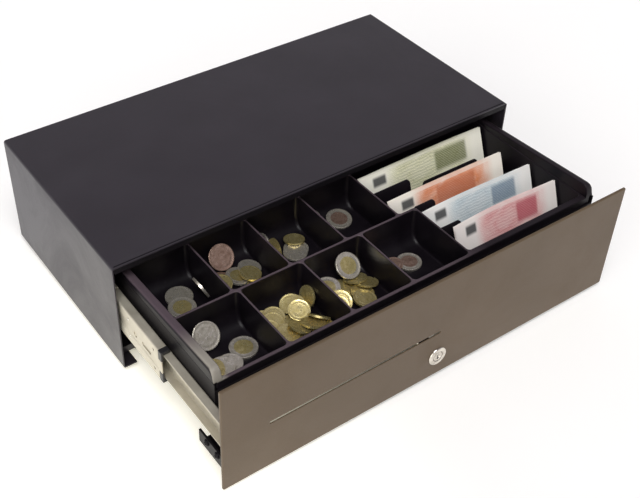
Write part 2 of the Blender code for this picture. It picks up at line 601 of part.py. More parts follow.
def solenoid():
    """Coil in its frame, with the plunger whose pin swings the hook clear of the striker."""
    x0, x1 = 30 * MM, 66 * MM
    half = 9 * MM
    base = 42 * MM + CLEAR
    body = place("solenoid_body", box((x0, LINK_Y - half, base), (x1, LINK_Y + half, PLUNGER_Z + half)),
                 "black_plastic", (x0, LINK_Y, PLUNGER_Z))
    soften(body, 1.2 * MM, 2)
    bore = rod(4.1 * MM, x0 - 5 * MM, x0 + 29 * MM)
    cut(body, turned(bore, (0, LINK_Y, PLUNGER_Z), "X", 20), "plunger_bore")
    profile = rod(3.8 * MM, 22 * MM, 50 * MM)
    plunger = place("solenoid_plunger", turned(profile, (0, LINK_Y, PLUNGER_Z), "X", 20), "zinc",
                    (LINK_X, LINK_Y, PLUNGER_Z))
    tongue = box((LINK_X - 3 * MM, LINK_Y - 3 * MM, 48.2 * MM), (26 * MM, LINK_Y + 3 * MM, 50.1 * MM))
    weld(plunger, tongue, "tongue_plate")
    weld(plunger, turned(rod(1.0 * MM, 43.6 * MM, 49 * MM), (LINK_X, LINK_Y, 0), "Z", 12), "link_pin")


# ---------------------------------------------------------------- kick-out, switch, socket and leads

def ejector():
    """Sprung pusher that kicks the drawer out when the hook lets go."""
    centre = (EJECT_X, 0, EJECT_Z)
    housing = [(3.3 * MM, 206 * MM), (7 * MM, 206 * MM), (7 * MM, 218 * MM), (11 * MM, 218 * MM),
               (11 * MM, BACK_Y - SHEET - CLEAR), (3.3 * MM, BACK_Y - SHEET - CLEAR)]
    place("ejector_housing", turned(housing, centre, "Y", 24), "black_plastic",
          (EJECT_X, 206 * MM, EJECT_Z), smooth=True)
    head = 176.3 * MM
    pusher = [(0, head), (6.5 * MM, head), (7 * MM, head + 0.5 * MM), (7 * MM, head + 3 * MM),
              (3 * MM, head + 3 * MM), (3 * MM, 210 * MM), (0, 210 * MM)]
    place("ejector_pusher", turned(pusher, centre, "Y", 24), "black_plastic",
          (EJECT_X, head, EJECT_Z), smooth=True)
    wire = 0.6 * MM
    start, end = head + 3 * MM + wire + CLEAR, 206 * MM - wire - CLEAR
    coil("ejector_spring", 4.8 * MM, wire, 6, (EJECT_X, start, EJECT_Z), "Y", end - start, "zinc")


def drawer_switch():
    """Microswitch on the back panel whose lever tells the till that the drawer is shut."""
    y0, y1 = 200 * MM, 210 * MM
    x0, x1 = SWITCH_X - 10 * MM, SWITCH_X + 10 * MM
    body = place("switch_body", box((x0, y0, SWITCH_Z - 3.2 * MM), (x1, y1, SWITCH_Z + 3.2 * MM)),
                 "black_plastic", (SWITCH_X, y0, SWITCH_Z))
    soften(body, 0.5 * MM, 1)
    stalk = box((SWITCH_X - 4 * MM, y1 - MM, SWITCH_Z - 3 * MM),
                (SWITCH_X + 4 * MM, BACK_Y - SHEET - CLEAR, SWITCH_Z + 3 * MM))
    weld(body, stalk, "stalk")
    hinge = (x0 + MM, y0 - 2 * MM)
    thick, half = 0.25 * MM, 2 * MM
    tip = (SWITCH_X + 14 * MM, 183.6 * MM)
    path = [hinge, (x0 + 5 * MM, y0 - 3.5 * MM), (SWITCH_X + 10 * MM, 187.5 * MM), tip]
    outline = folded(path, 2 * thick, 0.6 * MM, 2)
    place("switch_lever", prism(outline, "Z", SWITCH_Z - half, SWITCH_Z + half), "zinc", (*hinge, SWITCH_Z))


def control_socket():
    """Six-way modular socket for the till's opening pulse, let into the back panel."""
    half = 6.7 * MM
    front, mouth_y, behind = BACK_Y - 16 * MM, BACK_Y - 12 * MM, BACK_Y + 5 * MM
    shell = box((SOCKET_X - half, front, SOCKET_Z - half), (SOCKET_X + half, BACK_Y, SOCKET_Z + half))
    body = place("control_socket", shell, "black_plastic", (SOCKET_X, BACK_Y, SOCKET_Z))
    cut(body, box((SOCKET_X - 4.9 * MM, mouth_y, SOCKET_Z - 3.2 * MM),
                  (SOCKET_X + 4.9 * MM, behind, SOCKET_Z + 3.6 * MM)), "socket_mouth")
    cut(body, box((SOCKET_X - 2.2 * MM, mouth_y, SOCKET_Z - 5.2 * MM),
                  (SOCKET_X + 2.2 * MM, behind, SOCKET_Z - 3 * MM)), "latch_notch")


def lead(name, points):
    """Inside lead, a round wire along its route."""
    curve = bpy.data.curves.new(name, "CURVE")
    curve.dimensions = "3D"
    curve.bevel_depth = 1.1 * MM
    curve.bevel_resolution = 2
    curve.use_fill_caps = True
    curve.resolution_u = 5
    spline = curve.splines.new("BEZIER")
    spline.bezier_points.add(len(points) - 1)
    for knot, (x, y, z) in zip(spline.bezier_points, points):
        knot.co = (x * MM, y * MM, z * MM)
        knot.handle_left_type = knot.handle_right_type = "AUTO"
    obj = bpy.data.objects.new(name, curve)
    curve.materials.append(new_material(name, "rubber"))
    return gather(obj)


def leads():
    lead("lead_solenoid", [(66.5, 204, 50), (76, 205, 46), (90, 206, 26), (110, 206, 14), (132, 206, 22),
                           (142.6, 207, 34)])
    lead("lead_switch", [(-60, 205, 56), (-60, 208, 40), (-50, 216, 24), (-32, 220.9, 21), (20, 220.9, 21),
                         (66, 220.9, 21), (90, 220.5, 21), (126, 215, 24), (142.6, 213, 34)])


# ---------------------------------------------------------------- assembly

def main():
    case_cover()
    case_back_panel()
    case_base_plate()
    feet()
    back_screws()
    for label, side in (("left", -1), ("right", 1)):
        slide(label, side)
        fascia_bracket(label, side)
    drawer_pan()
    fascia()
    insert_tray()
    for index, (foot_y, left) in DIVIDERS.items():
        note_divider(index, foot_y, left)
    latch_striker()
    lock()
    latch_bracket()
    latch_hook()
    latch_pivot_pin()
    coil("latch_spring", 3.1 * MM, 0.4 * MM, 3, (LATCH_X, LATCH_Y, LATCH_Z + LATCH_T + 0.8 * MM), "Z",
         3.4 * MM, "zinc")
    solenoid()
    ejector()
    drawer_switch()
    control_socket()
    leads()


clear_scene()
PARTS = new_collection("cash_drawer")
TOOLS = new_collection("cutting_tools")
ASSEMBLY = bpy.data.objects.new("cash_drawer_origin", None)
ASSEMBLY.location.y = -FOOTPRINT_MIDDLE_Y
PARTS.objects.link(ASSEMBLY)
main()
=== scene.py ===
"""Looks of the cash drawer: sheet metal, ball slides, moulded insert, coins, notes, finishes and light."""
import random
from math import atan2, cos, hypot, pi, radians, sin, sqrt, tan, tau

import bmesh
import bpy
from mathutils import Matrix, Vector


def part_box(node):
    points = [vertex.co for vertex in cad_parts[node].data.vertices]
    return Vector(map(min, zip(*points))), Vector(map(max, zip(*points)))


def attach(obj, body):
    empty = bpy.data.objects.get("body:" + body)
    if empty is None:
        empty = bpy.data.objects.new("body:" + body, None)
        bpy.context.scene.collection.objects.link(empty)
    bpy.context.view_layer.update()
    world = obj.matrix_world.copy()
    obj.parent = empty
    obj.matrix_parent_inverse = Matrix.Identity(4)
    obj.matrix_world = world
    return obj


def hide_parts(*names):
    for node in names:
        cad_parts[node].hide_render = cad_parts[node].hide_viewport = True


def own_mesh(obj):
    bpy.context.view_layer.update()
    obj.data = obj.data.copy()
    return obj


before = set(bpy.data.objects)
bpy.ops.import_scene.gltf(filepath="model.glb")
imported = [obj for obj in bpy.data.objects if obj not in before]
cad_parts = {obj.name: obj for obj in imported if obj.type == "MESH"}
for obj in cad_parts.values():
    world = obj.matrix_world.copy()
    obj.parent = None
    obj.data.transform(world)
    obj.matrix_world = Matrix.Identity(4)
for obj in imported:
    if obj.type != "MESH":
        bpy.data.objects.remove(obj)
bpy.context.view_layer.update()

MM = 0.001
FRONT_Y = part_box("case_cover")[0].y     # meshes are made in millimetres, with y from the casing's front edge
SIDES = (("left", -1), ("right", 1))


def span(node):
    """Lowest and highest corner of a CAD node, in millimetres, with y from the casing's front edge."""
    return [Vector((v.x / MM, (v.y - FRONT_Y) / MM, v.z / MM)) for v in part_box(node)]


def middle_of(node):
    """Middle of a CAD node's box, in the same measure."""
    return [(a + b) / 2 for a, b in zip(*span(node))]


# ---- node materials

class Finish:
    """A node material: helpers that add nodes and return their output sockets."""

    def __init__(self, name, metallic=0.0, roughness=0.5, **fixed):
        self.material = bpy.data.materials.new(name)
        self.material.use_nodes = True
        self.tree = self.material.node_tree
        self.shader = self.tree.nodes["Principled BSDF"]
        self.set("Metallic", metallic)
        self.set("Roughness", roughness)
        for key, value in fixed.items():
            self.set(key.replace("_", " "), value)

    def set(self, socket, value):
        self.feed(self.shader.inputs[socket], value)

    def done(self, colour, normal, roughness=None):
        """Connect what was made, and hand over the material."""
        self.set("Base Color", colour)
        self.set("Normal", normal)
        if roughness:
            self.set("Roughness", roughness)
        return self.material

    def feed(self, socket, value):
        if isinstance(value, bpy.types.NodeSocket):
            self.tree.links.new(value, socket)
        elif isinstance(value, (tuple, list)) and len(value) == 3 and socket.type == "RGBA":
            socket.default_value = (*value, 1.0)
        else:
            socket.default_value = value

    def node(self, kind, out=0, values=None, **settings):
        made = self.tree.nodes.new("ShaderNode" + kind)
        for key, value in settings.items():
            setattr(made, key, value)
        for key, value in (values or {}).items():
            self.feed(made.inputs[key], value)
        return made.outputs[out]

    def place(self, stretch=(1, 1, 1), turn=(0, 0, 0)):
        where = self.node("TexCoord", "Object")
        return self.node("Mapping", 0, {"Vector": where, "Scale": stretch, "Rotation": turn})

    def part(self, vector, axis):
        """One coordinate of a vector."""
        return self.node("SeparateXYZ", axis, {0: vector})

    def noise(self, scale, detail=3.0, rough=0.55, where=None, warp=0.0):
        values = {"Scale": scale, "Detail": detail, "Roughness": rough, "Distortion": warp}
        return self.node("TexNoise", 0, {**values, "Vector": where or self.place()})

    def waves(self, scale, where, warp, detail, kind="BANDS", direction="X"):
        values = {"Scale": scale, "Distortion": warp, "Detail": detail, "Vector": where}
        return self.node("TexWave", 1, values, wave_type=kind, bands_direction=direction)

    def math(self, op, a, b=0.0, c=0.0, clamp=False):
        return self.node("Math", 0, {0: a, 1: b, 2: c}, operation=op, use_clamp=clamp)

    def times(self, a, b):
        return self.math("MULTIPLY", a, b)

    def fit(self, value, low, high, to_low=0.0, to_high=1.0, smooth=False):
        settings = {"interpolation_type": "SMOOTHSTEP"} if smooth else {}
        return self.node("MapRange", 0, {0: value, 1: low, 2: high, 3: to_low, 4: to_high}, **settings)

    def blend(self, share, a, b, how="MIX"):
        made = self.tree.nodes.new("ShaderNodeMix")
        made.data_type, made.blend_type = "RGBA", how
        for socket, value in zip([made.inputs[0], made.inputs[6], made.inputs[7]], [share, a, b]):
            self.feed(socket, value)
        return made.outputs[2]

    def bump(self, height, strength, depth, under=None):
        values = {"Height": height, "Strength": strength, "Distance": depth}
        if under:
            values["Normal"] = under
        return self.node("Bump", 0, values)


def powder_coat(name, low, high, rough=(0.36, 0.5), level=0.5):
    """Baked powder paint: orange-peel skin, fine texture, faint mottling and handling marks."""
    f = Finish(name, Specular_IOR_Level=level)
    mottle = f.times(f.fit(f.noise(14, 5, 0.6), 0.3, 0.7), 0.65)
    speck = f.fit(f.noise(900, 2), 0.35, 0.65)
    smudge = f.fit(f.noise(9, 6, 0.7, warp=0.6), 0.42, 0.7)
    skin = f.bump(f.noise(1100, 3, 0.6), 0.35, 0.00009)
    return f.done(f.blend(f.math("MULTIPLY_ADD", speck, 0.35, mottle), low, high),
                  f.bump(f.noise(240, 2), 0.12, 0.0002, skin), f.fit(smudge, 0, 1, *rough))


def plated_steel(name, low, high, axis=1, rough=(0.2, 0.42), metallic=1.0):
    """Zinc-plated rolled steel: lines along the rolling direction, cloudy passivation and tiny spangles."""
    f = Finish(name, metallic=metallic)
    stretch = [260.0] * 3
    stretch[axis] = 7.0
    lines = f.noise(3.2, 5, 0.65, f.place(stretch))
    cloud = f.fit(f.noise(38, 4, 0.6, warp=0.4), 0.3, 0.72)
    spangle = f.fit(f.node("TexVoronoi", 0, {"Scale": 420, "Vector": f.place()}), 0.0, 1.0)
    tone = f.math("ADD", f.times(lines, 0.4), f.times(cloud, 0.6))
    tone = f.math("MULTIPLY_ADD", spangle, 0.12, tone, clamp=True)
    dullness = f.math("ADD", f.times(lines, 0.6), f.times(cloud, 0.4))
    return f.done(f.blend(tone, low, high), f.bump(lines, 0.25, 0.00008), f.fit(dullness, 0.25, 0.75, *rough))


def polished(name, low, high, rough=(0.06, 0.2)):
    """Chromed or polished metal with hairline scratches and faint finger haze."""
    f = Finish(name, metallic=1.0)
    hair = f.noise(6, 4, 0.6, f.place((60, 900, 420), turn=(0.4, 0.2, 0.7)))
    haze = f.fit(f.noise(160, 4, 0.6), 0.35, 0.7)
    worn = f.math("MAXIMUM", haze, f.fit(hair, 0.55, 0.75))
    return f.done(f.blend(haze, high, low), f.bump(hair, 0.12, 0.00003), f.fit(worn, 0, 1, *rough))


def painted_rim_highlight(f, colour, height, faint, strong):
    """Painted highlight: paler upward faces near one height, for the light the top edges catch; strongest at
    the front left corner, fading out to the right.
    """
    where = f.node("TexCoord", "Object")
    x, y, z = [f.part(where, axis) for axis in range(3)]
    above = f.fit(z, height - 0.0012, height - 0.0002)
    facing = f.node("VectorMath", "Value", {0: f.node("NewGeometry", "Normal"), 1: (0, -0.6, 0.8)},
                    operation="DOT_PRODUCT")
    corner = f.times(f.fit(y, FRONT_Y - 0.075, FRONT_Y - 0.125, smooth=True), f.fit(x, -0.2, -0.207))
    share = f.times(f.times(above, f.fit(facing, 0.42, 0.62)), f.fit(x, 0.03, 0.08, 1.0, 0.12))
    return f.blend(share, colour, f.blend(corner, faint, strong))


def moulded(name, low, high, rough=(0.3, 0.48), grain=1500, level=0.5, painted_highlight=None):
    """Moulded plastic: spark-eroded grain, slow flow variation, light scuffs and, when asked, a painted
    highlight along its top edges.
    """
    f = Finish(name, Specular_IOR_Level=level)
    flow = f.fit(f.noise(22, 4, 0.6, warp=0.8), 0.3, 0.7)
    scuff = f.fit(f.noise(5, 5, 0.7, f.place((90, 30, 60), (0.2, 0.5, 0.3))), 0.56, 0.72)
    colour = f.blend(f.math("MAXIMUM", f.times(flow, 0.7), scuff), low, high)
    return f.done(painted_rim_highlight(f, colour, *painted_highlight) if painted_highlight else colour,
                  f.bump(f.noise(grain, 2, 0.5), 0.3, 0.00006),
                  f.fit(f.math("MULTIPLY_ADD", scuff, 0.5, f.times(flow, 0.5)), 0, 1, *rough))


def rubbery(name, low, high):
    """Moulded rubber: matt, dusty in the hollows."""
    f = Finish(name, roughness=0.85, Sheen_Weight=0.2, Sheen_Roughness=0.6)
    dust = f.fit(f.noise(120, 5, 0.65), 0.45, 0.75)
    return f.done(f.blend(dust, low, high), f.bump(f.noise(1300, 2), 0.4, 0.0001),
                  f.fit(dust, 0, 1, 0.7, 0.92))


def struck_metal(name, low, high, rough=(0.22, 0.45)):
    """Coin metal: worn high spots, tarnish in the low ones, and a faint struck relief."""
    f = Finish(name, metallic=0.8)
    tarnish = f.fit(f.noise(260, 5, 0.65, warp=0.5), 0.35, 0.68)
    relief = f.bump(f.noise(620, 3), 0.25, 0.00008)
    return f.done(f.blend(tarnish, high, low), f.bump(f.noise(1900, 2), 0.15, 0.00004, relief),
                  f.fit(tarnish, 0, 1, *rough))


def banknote_paper(name, tint, deep, edge, blot):
    """Printed paper by its own u, v: pale ends, tinted field, line work, rings, a small and a large patch."""
    f = Finish(name, roughness=0.75, Specular_IOR_Level=0.25)
    uv = f.node("UVMap", 0, uv_map="sheet")
    u, v = f.part(uv, 0), f.part(uv, 1)

    def spread(across, up, shift=(0, 0, 0)):
        return f.node("Mapping", 0, {"Vector": uv, "Scale": (across, up, 1), "Location": shift})

    def bar(value, a, b, soft):
        """One from a to b, nought outside, with soft ends."""
        rise = f.fit(value, a - soft, a + soft, smooth=True)
        return f.times(rise, f.fit(value, b - soft, b + soft, 1, 0, smooth=True))

    fibre = f.noise(1.0, 4, 0.6, spread(160, 80))
    wash = f.noise(1.0, 3, 0.5, spread(5, 2.6), warp=1.4)
    field = f.times(bar(u, 0.24, 0.86, 0.07), f.fit(wash, 0.28, 0.66, 0.45, 1.0))
    lines = f.waves(34, spread(1, 0.5), 9, 1.5, direction="DIAGONAL")
    arcs = f.waves(7, spread(2.2, 1, (-0.9, -0.4, 0)), 3, 1, "RINGS")
    rosette = f.waves(13, spread(2.2, 1, (-1.1 * sum(blot), -0.77, 0)), 2, 1, "RINGS")
    large = f.times(bar(u, *blot, 0.014), bar(v, 0.62, 0.92, 0.04))
    small = f.times(bar(u, 0.1, 0.2, 0.01), bar(v, 0.78, 0.92, 0.03))
    colour = f.blend(field, edge, tint)
    for share, ink in ((f.times(f.times(lines, field), 0.35), deep),
                       (f.times(f.times(arcs, bar(u, 0.3, 0.62, 0.05)), 0.3), deep),
                       (f.times(large, f.fit(rosette, 0.2, 0.8, 0.55, 0.97)), deep),
                       (f.times(small, 0.93), (0.02, 0.025, 0.03)),
                       (f.times(bar(v, 0.955, 1.2, 0.004), 0.5), edge),
                       (f.fit(fibre, 0.3, 0.7, 0.0, 0.12), (0.5, 0.47, 0.42))):
        colour = f.blend(share, colour, ink)
    return f.done(colour, f.bump(fibre, 0.25, 0.00006, f.bump(lines, 0.1, 0.00003)))


RIM_RISE = 13.0                         # the insert's side rims stand this high above its deck
TRAY_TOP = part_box("insert_tray")[1].z - RIM_RISE * MM

CASING = powder_coat("casing_powder_coat", (0.0165, 0.013, 0.0178), (0.026, 0.0212, 0.0282), level=0.6)
FASCIA = powder_coat("fascia_powder_coat", (0.086, 0.0585, 0.034), (0.106, 0.073, 0.0445), (0.42, 0.54), 0.35)
BLACK_STEEL = powder_coat("black_steel_paint", (0.004, 0.0035, 0.0045), (0.009, 0.0075, 0.009), (0.4, 0.5),
                          0.12)
ZINC = plated_steel("zinc_plate", (0.42, 0.385, 0.305), (0.62, 0.58, 0.48), rough=(0.34, 0.5), metallic=0.55)
ZINC_ACROSS = plated_steel("zinc_plate_small", (0.46, 0.44, 0.39), (0.78, 0.76, 0.7), axis=2)
CHROME = polished("lock_chrome", (0.46, 0.42, 0.36), (0.8, 0.75, 0.67))
BEARING = polished("bearing_steel", (0.5, 0.5, 0.5), (0.8, 0.8, 0.8), rough=(0.08, 0.25))
# The insert's top edges get a painted highlight: purplish, and pale at the front left corner.
TRAY_PLASTIC = moulded("tray_plastic", (0.0045, 0.0034, 0.005), (0.011, 0.0085, 0.0115), level=0.15,
                       painted_highlight=(TRAY_TOP, (0.078, 0.058, 0.068), (0.27, 0.25, 0.215)))
BLACK_PLASTIC = moulded("black_plastic", (0.007, 0.007, 0.008), (0.02, 0.019, 0.021), rough=(0.32, 0.55))
RUBBER = rubbery("black_rubber", (0.01, 0.01, 0.01), (0.03, 0.029, 0.027))
SHEATH = moulded("lead_sheath", (0.012, 0.012, 0.013), (0.03, 0.03, 0.032), rough=(0.4, 0.6), grain=2600)
GOLD_PLATE = polished("contact_gold", (0.55, 0.36, 0.1), (0.85, 0.62, 0.25), rough=(0.15, 0.3))
COIN_METALS = {"silver": struck_metal("coin_nickel", (0.46, 0.42, 0.34), (0.84, 0.79, 0.69)),
               "gold": struck_metal("coin_brass", (0.44, 0.35, 0.13), (0.8, 0.69, 0.34)),
               "copper": struck_metal("coin_copper", (0.27, 0.16, 0.12), (0.6, 0.42, 0.33))}
SLOTS = {CASING: "casing_paint", FASCIA: "fascia_paint", BLACK_STEEL: "black_steel", ZINC: "zinc",
         ZINC_ACROSS: "zinc", BEARING: "zinc", CHROME: "chrome", TRAY_PLASTIC: "black_plastic",
         BLACK_PLASTIC: "black_plastic"}


# ---- mesh helpers, in millimetres

def loft(bm, rings, ends=(True, True)):
    """Skin between rings of (x, y, z) points, closed at the chosen ends; returns the first ring's edges."""
    loops = [[bm.verts.new(p) for p in ring] for ring in rings]
    for a, b in zip(loops, loops[1:]):
        for i in range(len(a)):
            bm.faces.new((a[i - 1], a[i], b[i], b[i - 1]))
    for end, loop in zip(ends, (loops[0], loops[-1])):
        if end:
            bm.faces.new(loop)
    top = loops[0]
    return [bm.edges.get((top[i - 1], top[i])) for i in range(len(top))]


ORDER = {"X": lambda u, v, w: (w, u, v), "Y": lambda u, v, w: (u, w, v), "Z": lambda u, v, w: (u, v, w)}


def prism(outline, axis, lo, hi, bm=None):
    """Closed 2-D outline drawn out along an axis; the outline's plane is YZ, XZ or XY."""
    bm = bm or bmesh.new()
    loft(bm, [[ORDER[axis](u, v, w) for u, v in outline] for w in (lo, hi)])
    return bm


def block(lo, hi, bm=None):
    return prism([(lo[0], lo[1]), (hi[0], lo[1]), (hi[0], hi[1]), (lo[0], hi[1])], "Z", lo[2], hi[2], bm)


def turned(profile, centre, axis, steps=40, bm=None):
    """(radius, height) profile turned about an axis; ends off the axis are joined to close a ring."""
    bm = bm or bmesh.new()
    centre, units = Vector(centre), [Vector(row) for row in Matrix.Identity(3)]
    i = "XYZ".index(axis)
    u, v, w = units[i - 2], units[i - 1], units[i]
    rings = []
    for r, h in profile:
        angles = [tau * i / steps for i in range(steps)] if r > 1e-6 else [0]
        rings.append([bm.verts.new(centre + w * h + (u * cos(a) + v * sin(a)) * r) for a in angles])
    pairs = list(zip(rings, rings[1:]))
    if profile[0][0] > 1e-6 and profile[-1][0] > 1e-6:
        pairs.append((rings[-1], rings[0]))
    for a, b in pairs:
        for i in range(steps):
            j = i + 1
            corners = [a[i % len(a)], a[j % len(a)], b[j % len(b)], b[i % len(b)]]
            corners = list(dict.fromkeys(corners))
            if len(corners) > 2:
                bm.faces.new(corners)
    return bm


def rod(radius, lo, hi):
    return [(0, lo), (radius, lo), (radius, hi), (0, hi)]


def arc(cx, cy, radius, start, end, steps):
    angles = [radians(start + (end - start) * i / steps) for i in range(steps + 1)]
    return [(cx + radius * cos(a), cy + radius * sin(a)) for a in angles]


def capsule(u0, u1, v, radius, steps=8):
    """Outline of a slot with round ends, from u0 to u1 along u."""
    return arc(u1 - radius, v, radius, -90, 90, steps) + arc(u0 + radius, v, radius, 90, 270, steps)


def mirrored(points, a=1, b=-1):
    """Half an outline and its mirror image."""
    return points + [(a * u, b * v) for u, v in reversed(points)]


def folded(path, thickness, bend, steps=6):
    """Outline of a sheet folded along path, its outer skin; the metal lies to the left of the path."""
    points = [Vector(p) for p in path]
    heads = [(b - a).normalized() for a, b in zip(points, points[1:])]
    lefts = [Vector((-d.y, d.x)) for d in heads]
    middle = [points[0] + lefts[0] * thickness / 2]
    for i in range(1, len(points) - 1):
        mitre = (lefts[i - 1] + lefts[i]).normalized()
        middle.append(points[i] + mitre * thickness / 2 / mitre.dot(lefts[i]))
    middle.append(points[-1] + lefts[-1] * thickness / 2)
    samples = [(middle[0], lefts[0])]
    for i in range(1, len(middle) - 1):
        turn = heads[i - 1].angle_signed(heads[i])          # clockwise is positive
        side = -1 if turn > 0 else 1
        start = middle[i] - heads[i - 1] * bend * tan(abs(turn) / 2)
        pivot = start + lefts[i - 1] * side * bend
        for k in range(steps + 1):
            left = Matrix.Rotation(-turn * k / steps, 2) @ lefts[i - 1]
            samples.append((pivot - left * side * bend, left))
    samples.append((middle[-1], lefts[-1]))
    return ([tuple(p - n * thickness / 2) for p, n in samples]
            + [tuple(p + n * thickness / 2) for p, n in reversed(samples)])


def to_mesh(name, bm):
    mesh = bpy.data.meshes.new(name)
    bm.to_mesh(mesh)
    bm.free()
    return mesh


def add_object(name, data):
    obj = bpy.data.objects.new(name, data)
    bpy.context.scene.collection.objects.link(obj)
    return obj


def to_object(name, bm):
    """A mesh object in metres from a bmesh in millimetres."""
    bmesh.ops.recalc_face_normals(bm, faces=bm.faces)
    bmesh.ops.scale(bm, vec=(MM, MM, MM), verts=bm.verts)
    bmesh.ops.translate(bm, vec=(0, FRONT_Y, 0), verts=bm.verts)
    return add_object(name, to_mesh(name, bm))


def freeze(obj, smooth=35):
    """Apply the modifiers, and shade smooth up to an angle."""
    bpy.context.view_layer.update()
    depsgraph = bpy.context.evaluated_depsgraph_get()
    obj.data = bpy.data.meshes.new_from_object(obj.evaluated_get(depsgraph))
    obj.modifiers.clear()
    obj.data.materials.clear()
    if smooth:
        obj.data.shade_smooth()
        obj.data.set_sharp_from_angle(angle=radians(smooth))
        weighted = obj.modifiers.new("normals", "WEIGHTED_NORMAL")
        weighted.keep_sharp = True
    return obj


def made(name, bm, material, body, cuts=(), joins=(), bevel=0.0, segments=2, angle=40, smooth=35, replaces=(),
         slot=None):
    """A finished piece: joined, cut, with its edges rounded, riding on a body."""
    obj = to_object(name, bm)
    tools = []
    for operation, group in (("UNION", joins), ("DIFFERENCE", cuts)):
        for tool_bm in group:
            tool = to_object(name + "_tool", tool_bm)
            modifier = obj.modifiers.new("tool", "BOOLEAN")
            modifier.operation, modifier.solver, modifier.object = operation, "EXACT", tool
            tools.append(tool)
    if bevel:
        modifier = obj.modifiers.new("edges", "BEVEL")
        modifier.width, modifier.segments = bevel * MM, segments
        modifier.limit_method, modifier.angle_limit = "ANGLE", radians(angle)
        modifier.use_clamp_overlap = True
    freeze(obj, smooth)
    for tool in tools:
        bpy.data.objects.remove(tool)
    return dress(obj, material, body, replaces, slot)


def dress(obj, material, body, replaces=(), slot=None):
    """Give a piece its material and body; the slot, the material's own if not another, is worked out but not
    used.
    """
    slot = slot or SLOTS.get(material)
    obj.data.materials.append(material)
    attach(obj, body)
    if replaces:
        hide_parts(*replaces)
    return obj


def cross_recess(centre, axis, size, depth):
    """Tapered cross for a screw head, sunk along the signed axis from centre."""
    a, b = size / 2, size / 7
    plan = [(a, b), (b, b), (b, a), (-b, a), (-b, b), (-a, b),
            (-a, -b), (-b, -b), (-b, -a), (b, -a), (b, -b), (a, -b)]
    sign = -1 if axis[0] == "-" else 1
    bm = bmesh.new()
    loft(bm, [[[c + d for c, d in zip(centre, ORDER[axis[-1]](p * shrink, q * shrink, sign * h))]
               for p, q in plan] for shrink, h in ((1.0, -1.0), (1.0, 0.0), (0.45, depth))])
    return bm


def pan_screw(name, centre, axis, body, radius=3.0, height=1.9, shank=5.0, replaces=(), material=ZINC_ACROSS):
    """Pan-head screw with a cross recess; its head stands against axis, which points into the work."""
    sign = -1 if axis[0] == "-" else 1
    dome = ((1.0, 0.35), (0.93, 0.62), (0.75, 0.86), (0.4, 1.0), (0.0, 1.0))
    profile = [(0, shank), (radius * 0.45, shank - 0.6), (radius * 0.5, 0.0), (radius, 0.0)]
    profile += [(radius * r, -height * h) for r, h in dome]
    bm = turned([(r, h * sign) for r, h in profile], centre, axis[-1], 28)
    tip = Vector(centre)
    tip["XYZ".index(axis[-1])] -= sign * (height + 0.001)
    return made(name, bm, material, body, cuts=[cross_recess(tip, axis, radius * 1.2, height * 0.75)],
                replaces=replaces)


# ---- casing

SHEET = 1.2                             # thickness of the cover's and the fascia's sheet steel
BACK_SCREWS = ("top_left", "top_right", "low_left", "low_right")


def casing():
    """Cover folded in one piece, the header behind its front edge, its rear frame and the back screws."""
    lo, hi = span("case_cover")
    half, z0, z1, depth = hi.x, lo.z, hi.z, hi.y
    lip, frame_low, frame_in = 14, z0 + 14, 10
    outline = folded(mirrored([(half - lip, z0), (half, z0), (half, z1)], -1, 1), SHEET, 2.0, 10)
    header = prism([(0.15, z1 - 7), (0.15, z1 - 1.6), *arc(1.75, z1 - 1.6, 1.6, 180, 90, 5), (3, z1),
                    (3, z1 - SHEET), (SHEET, z1 - SHEET), (SHEET, z1 - 7)], "X", -half + 2.4, half - 2.4)
    rear = mirrored([(half - 0.6, frame_low), (half - 0.6, z1 - 1.8), (half - 1.8, z1 - 0.6)], -1, 1)
    rear += mirrored([(half - frame_in, frame_low), (half - frame_in, z1 - frame_in)], -1, 1)[::-1]
    holes = bmesh.new()
    for label in BACK_SCREWS:
        x, _, z = middle_of("back_screw_" + label)
        turned(rod(1.8, -8, 4), (x, depth, z), "Y", 24, holes)
    made("casing_cover", prism(outline, "Y", 0.0, depth), CASING, "casing",
         joins=[prism(rear, "Y", depth - SHEET, depth - 0.05)], cuts=[holes], bevel=0.3,
         replaces=["case_cover"])
    # Painted shade: the header takes the near-black black_steel finish instead of the casing's paint, so the
    # casing's front lip reads dark.
    made("casing_header", header, BLACK_STEEL, "casing", bevel=0.3, replaces=["case_cover"],
         slot="casing_paint")
    for label in BACK_SCREWS:
        x, _, z = middle_of("back_screw_" + label)
        seat = span("back_screw_" + label)[1].y - 1.9
        pan_screw("rear_screw_" + label, (x, seat, z), "-Y", "casing", replaces=["back_screw_" + label])


# ---- slides

WALL_X = span("slide_right_case_member")[1].x          # the slides' outer face, on the casing's side wall
SLIDE_Z = middle_of("slide_right_case_member")[2]


def from_wall(side, points):
    """Points given as (distance in from the casing wall, height from the slide's middle line)."""
    return [(side * (WALL_X - t), SLIDE_Z + z) for t, z in points]


def slide_piece(label, side, kind, path, thickness, bend, body, cuts):
    """Rolled channel; path is half of its outer skin, the other half mirrors it."""
    node = f"slide_{label}_{kind}_member"
    lo, hi = span(node)
    outline = from_wall(side, folded(mirrored(path), thickness, bend))
    made(f"rail_{label}_{kind}", prism(outline, "Y", lo.y, hi.y), ZINC, body, cuts=[cuts], bevel=0.2,
         segments=1, angle=60, replaces=[node])


def web_cuts(side, slots, holes=()):
    """Slots (y0, y1, height, half width) and round holes (y, height, radius) through a member's web."""
    x, reach = side * WALL_X, 16
    bm = bmesh.new()
    for y0, y1, z, r in slots:
        prism(capsule(y0, y1, SLIDE_Z + z, r), "X", x - reach, x + reach, bm)
    for y, z, r in holes:
        prism(arc(y, SLIDE_Z + z, r, 0, 345, 23), "X", x - reach, x + reach, bm)
    return bm


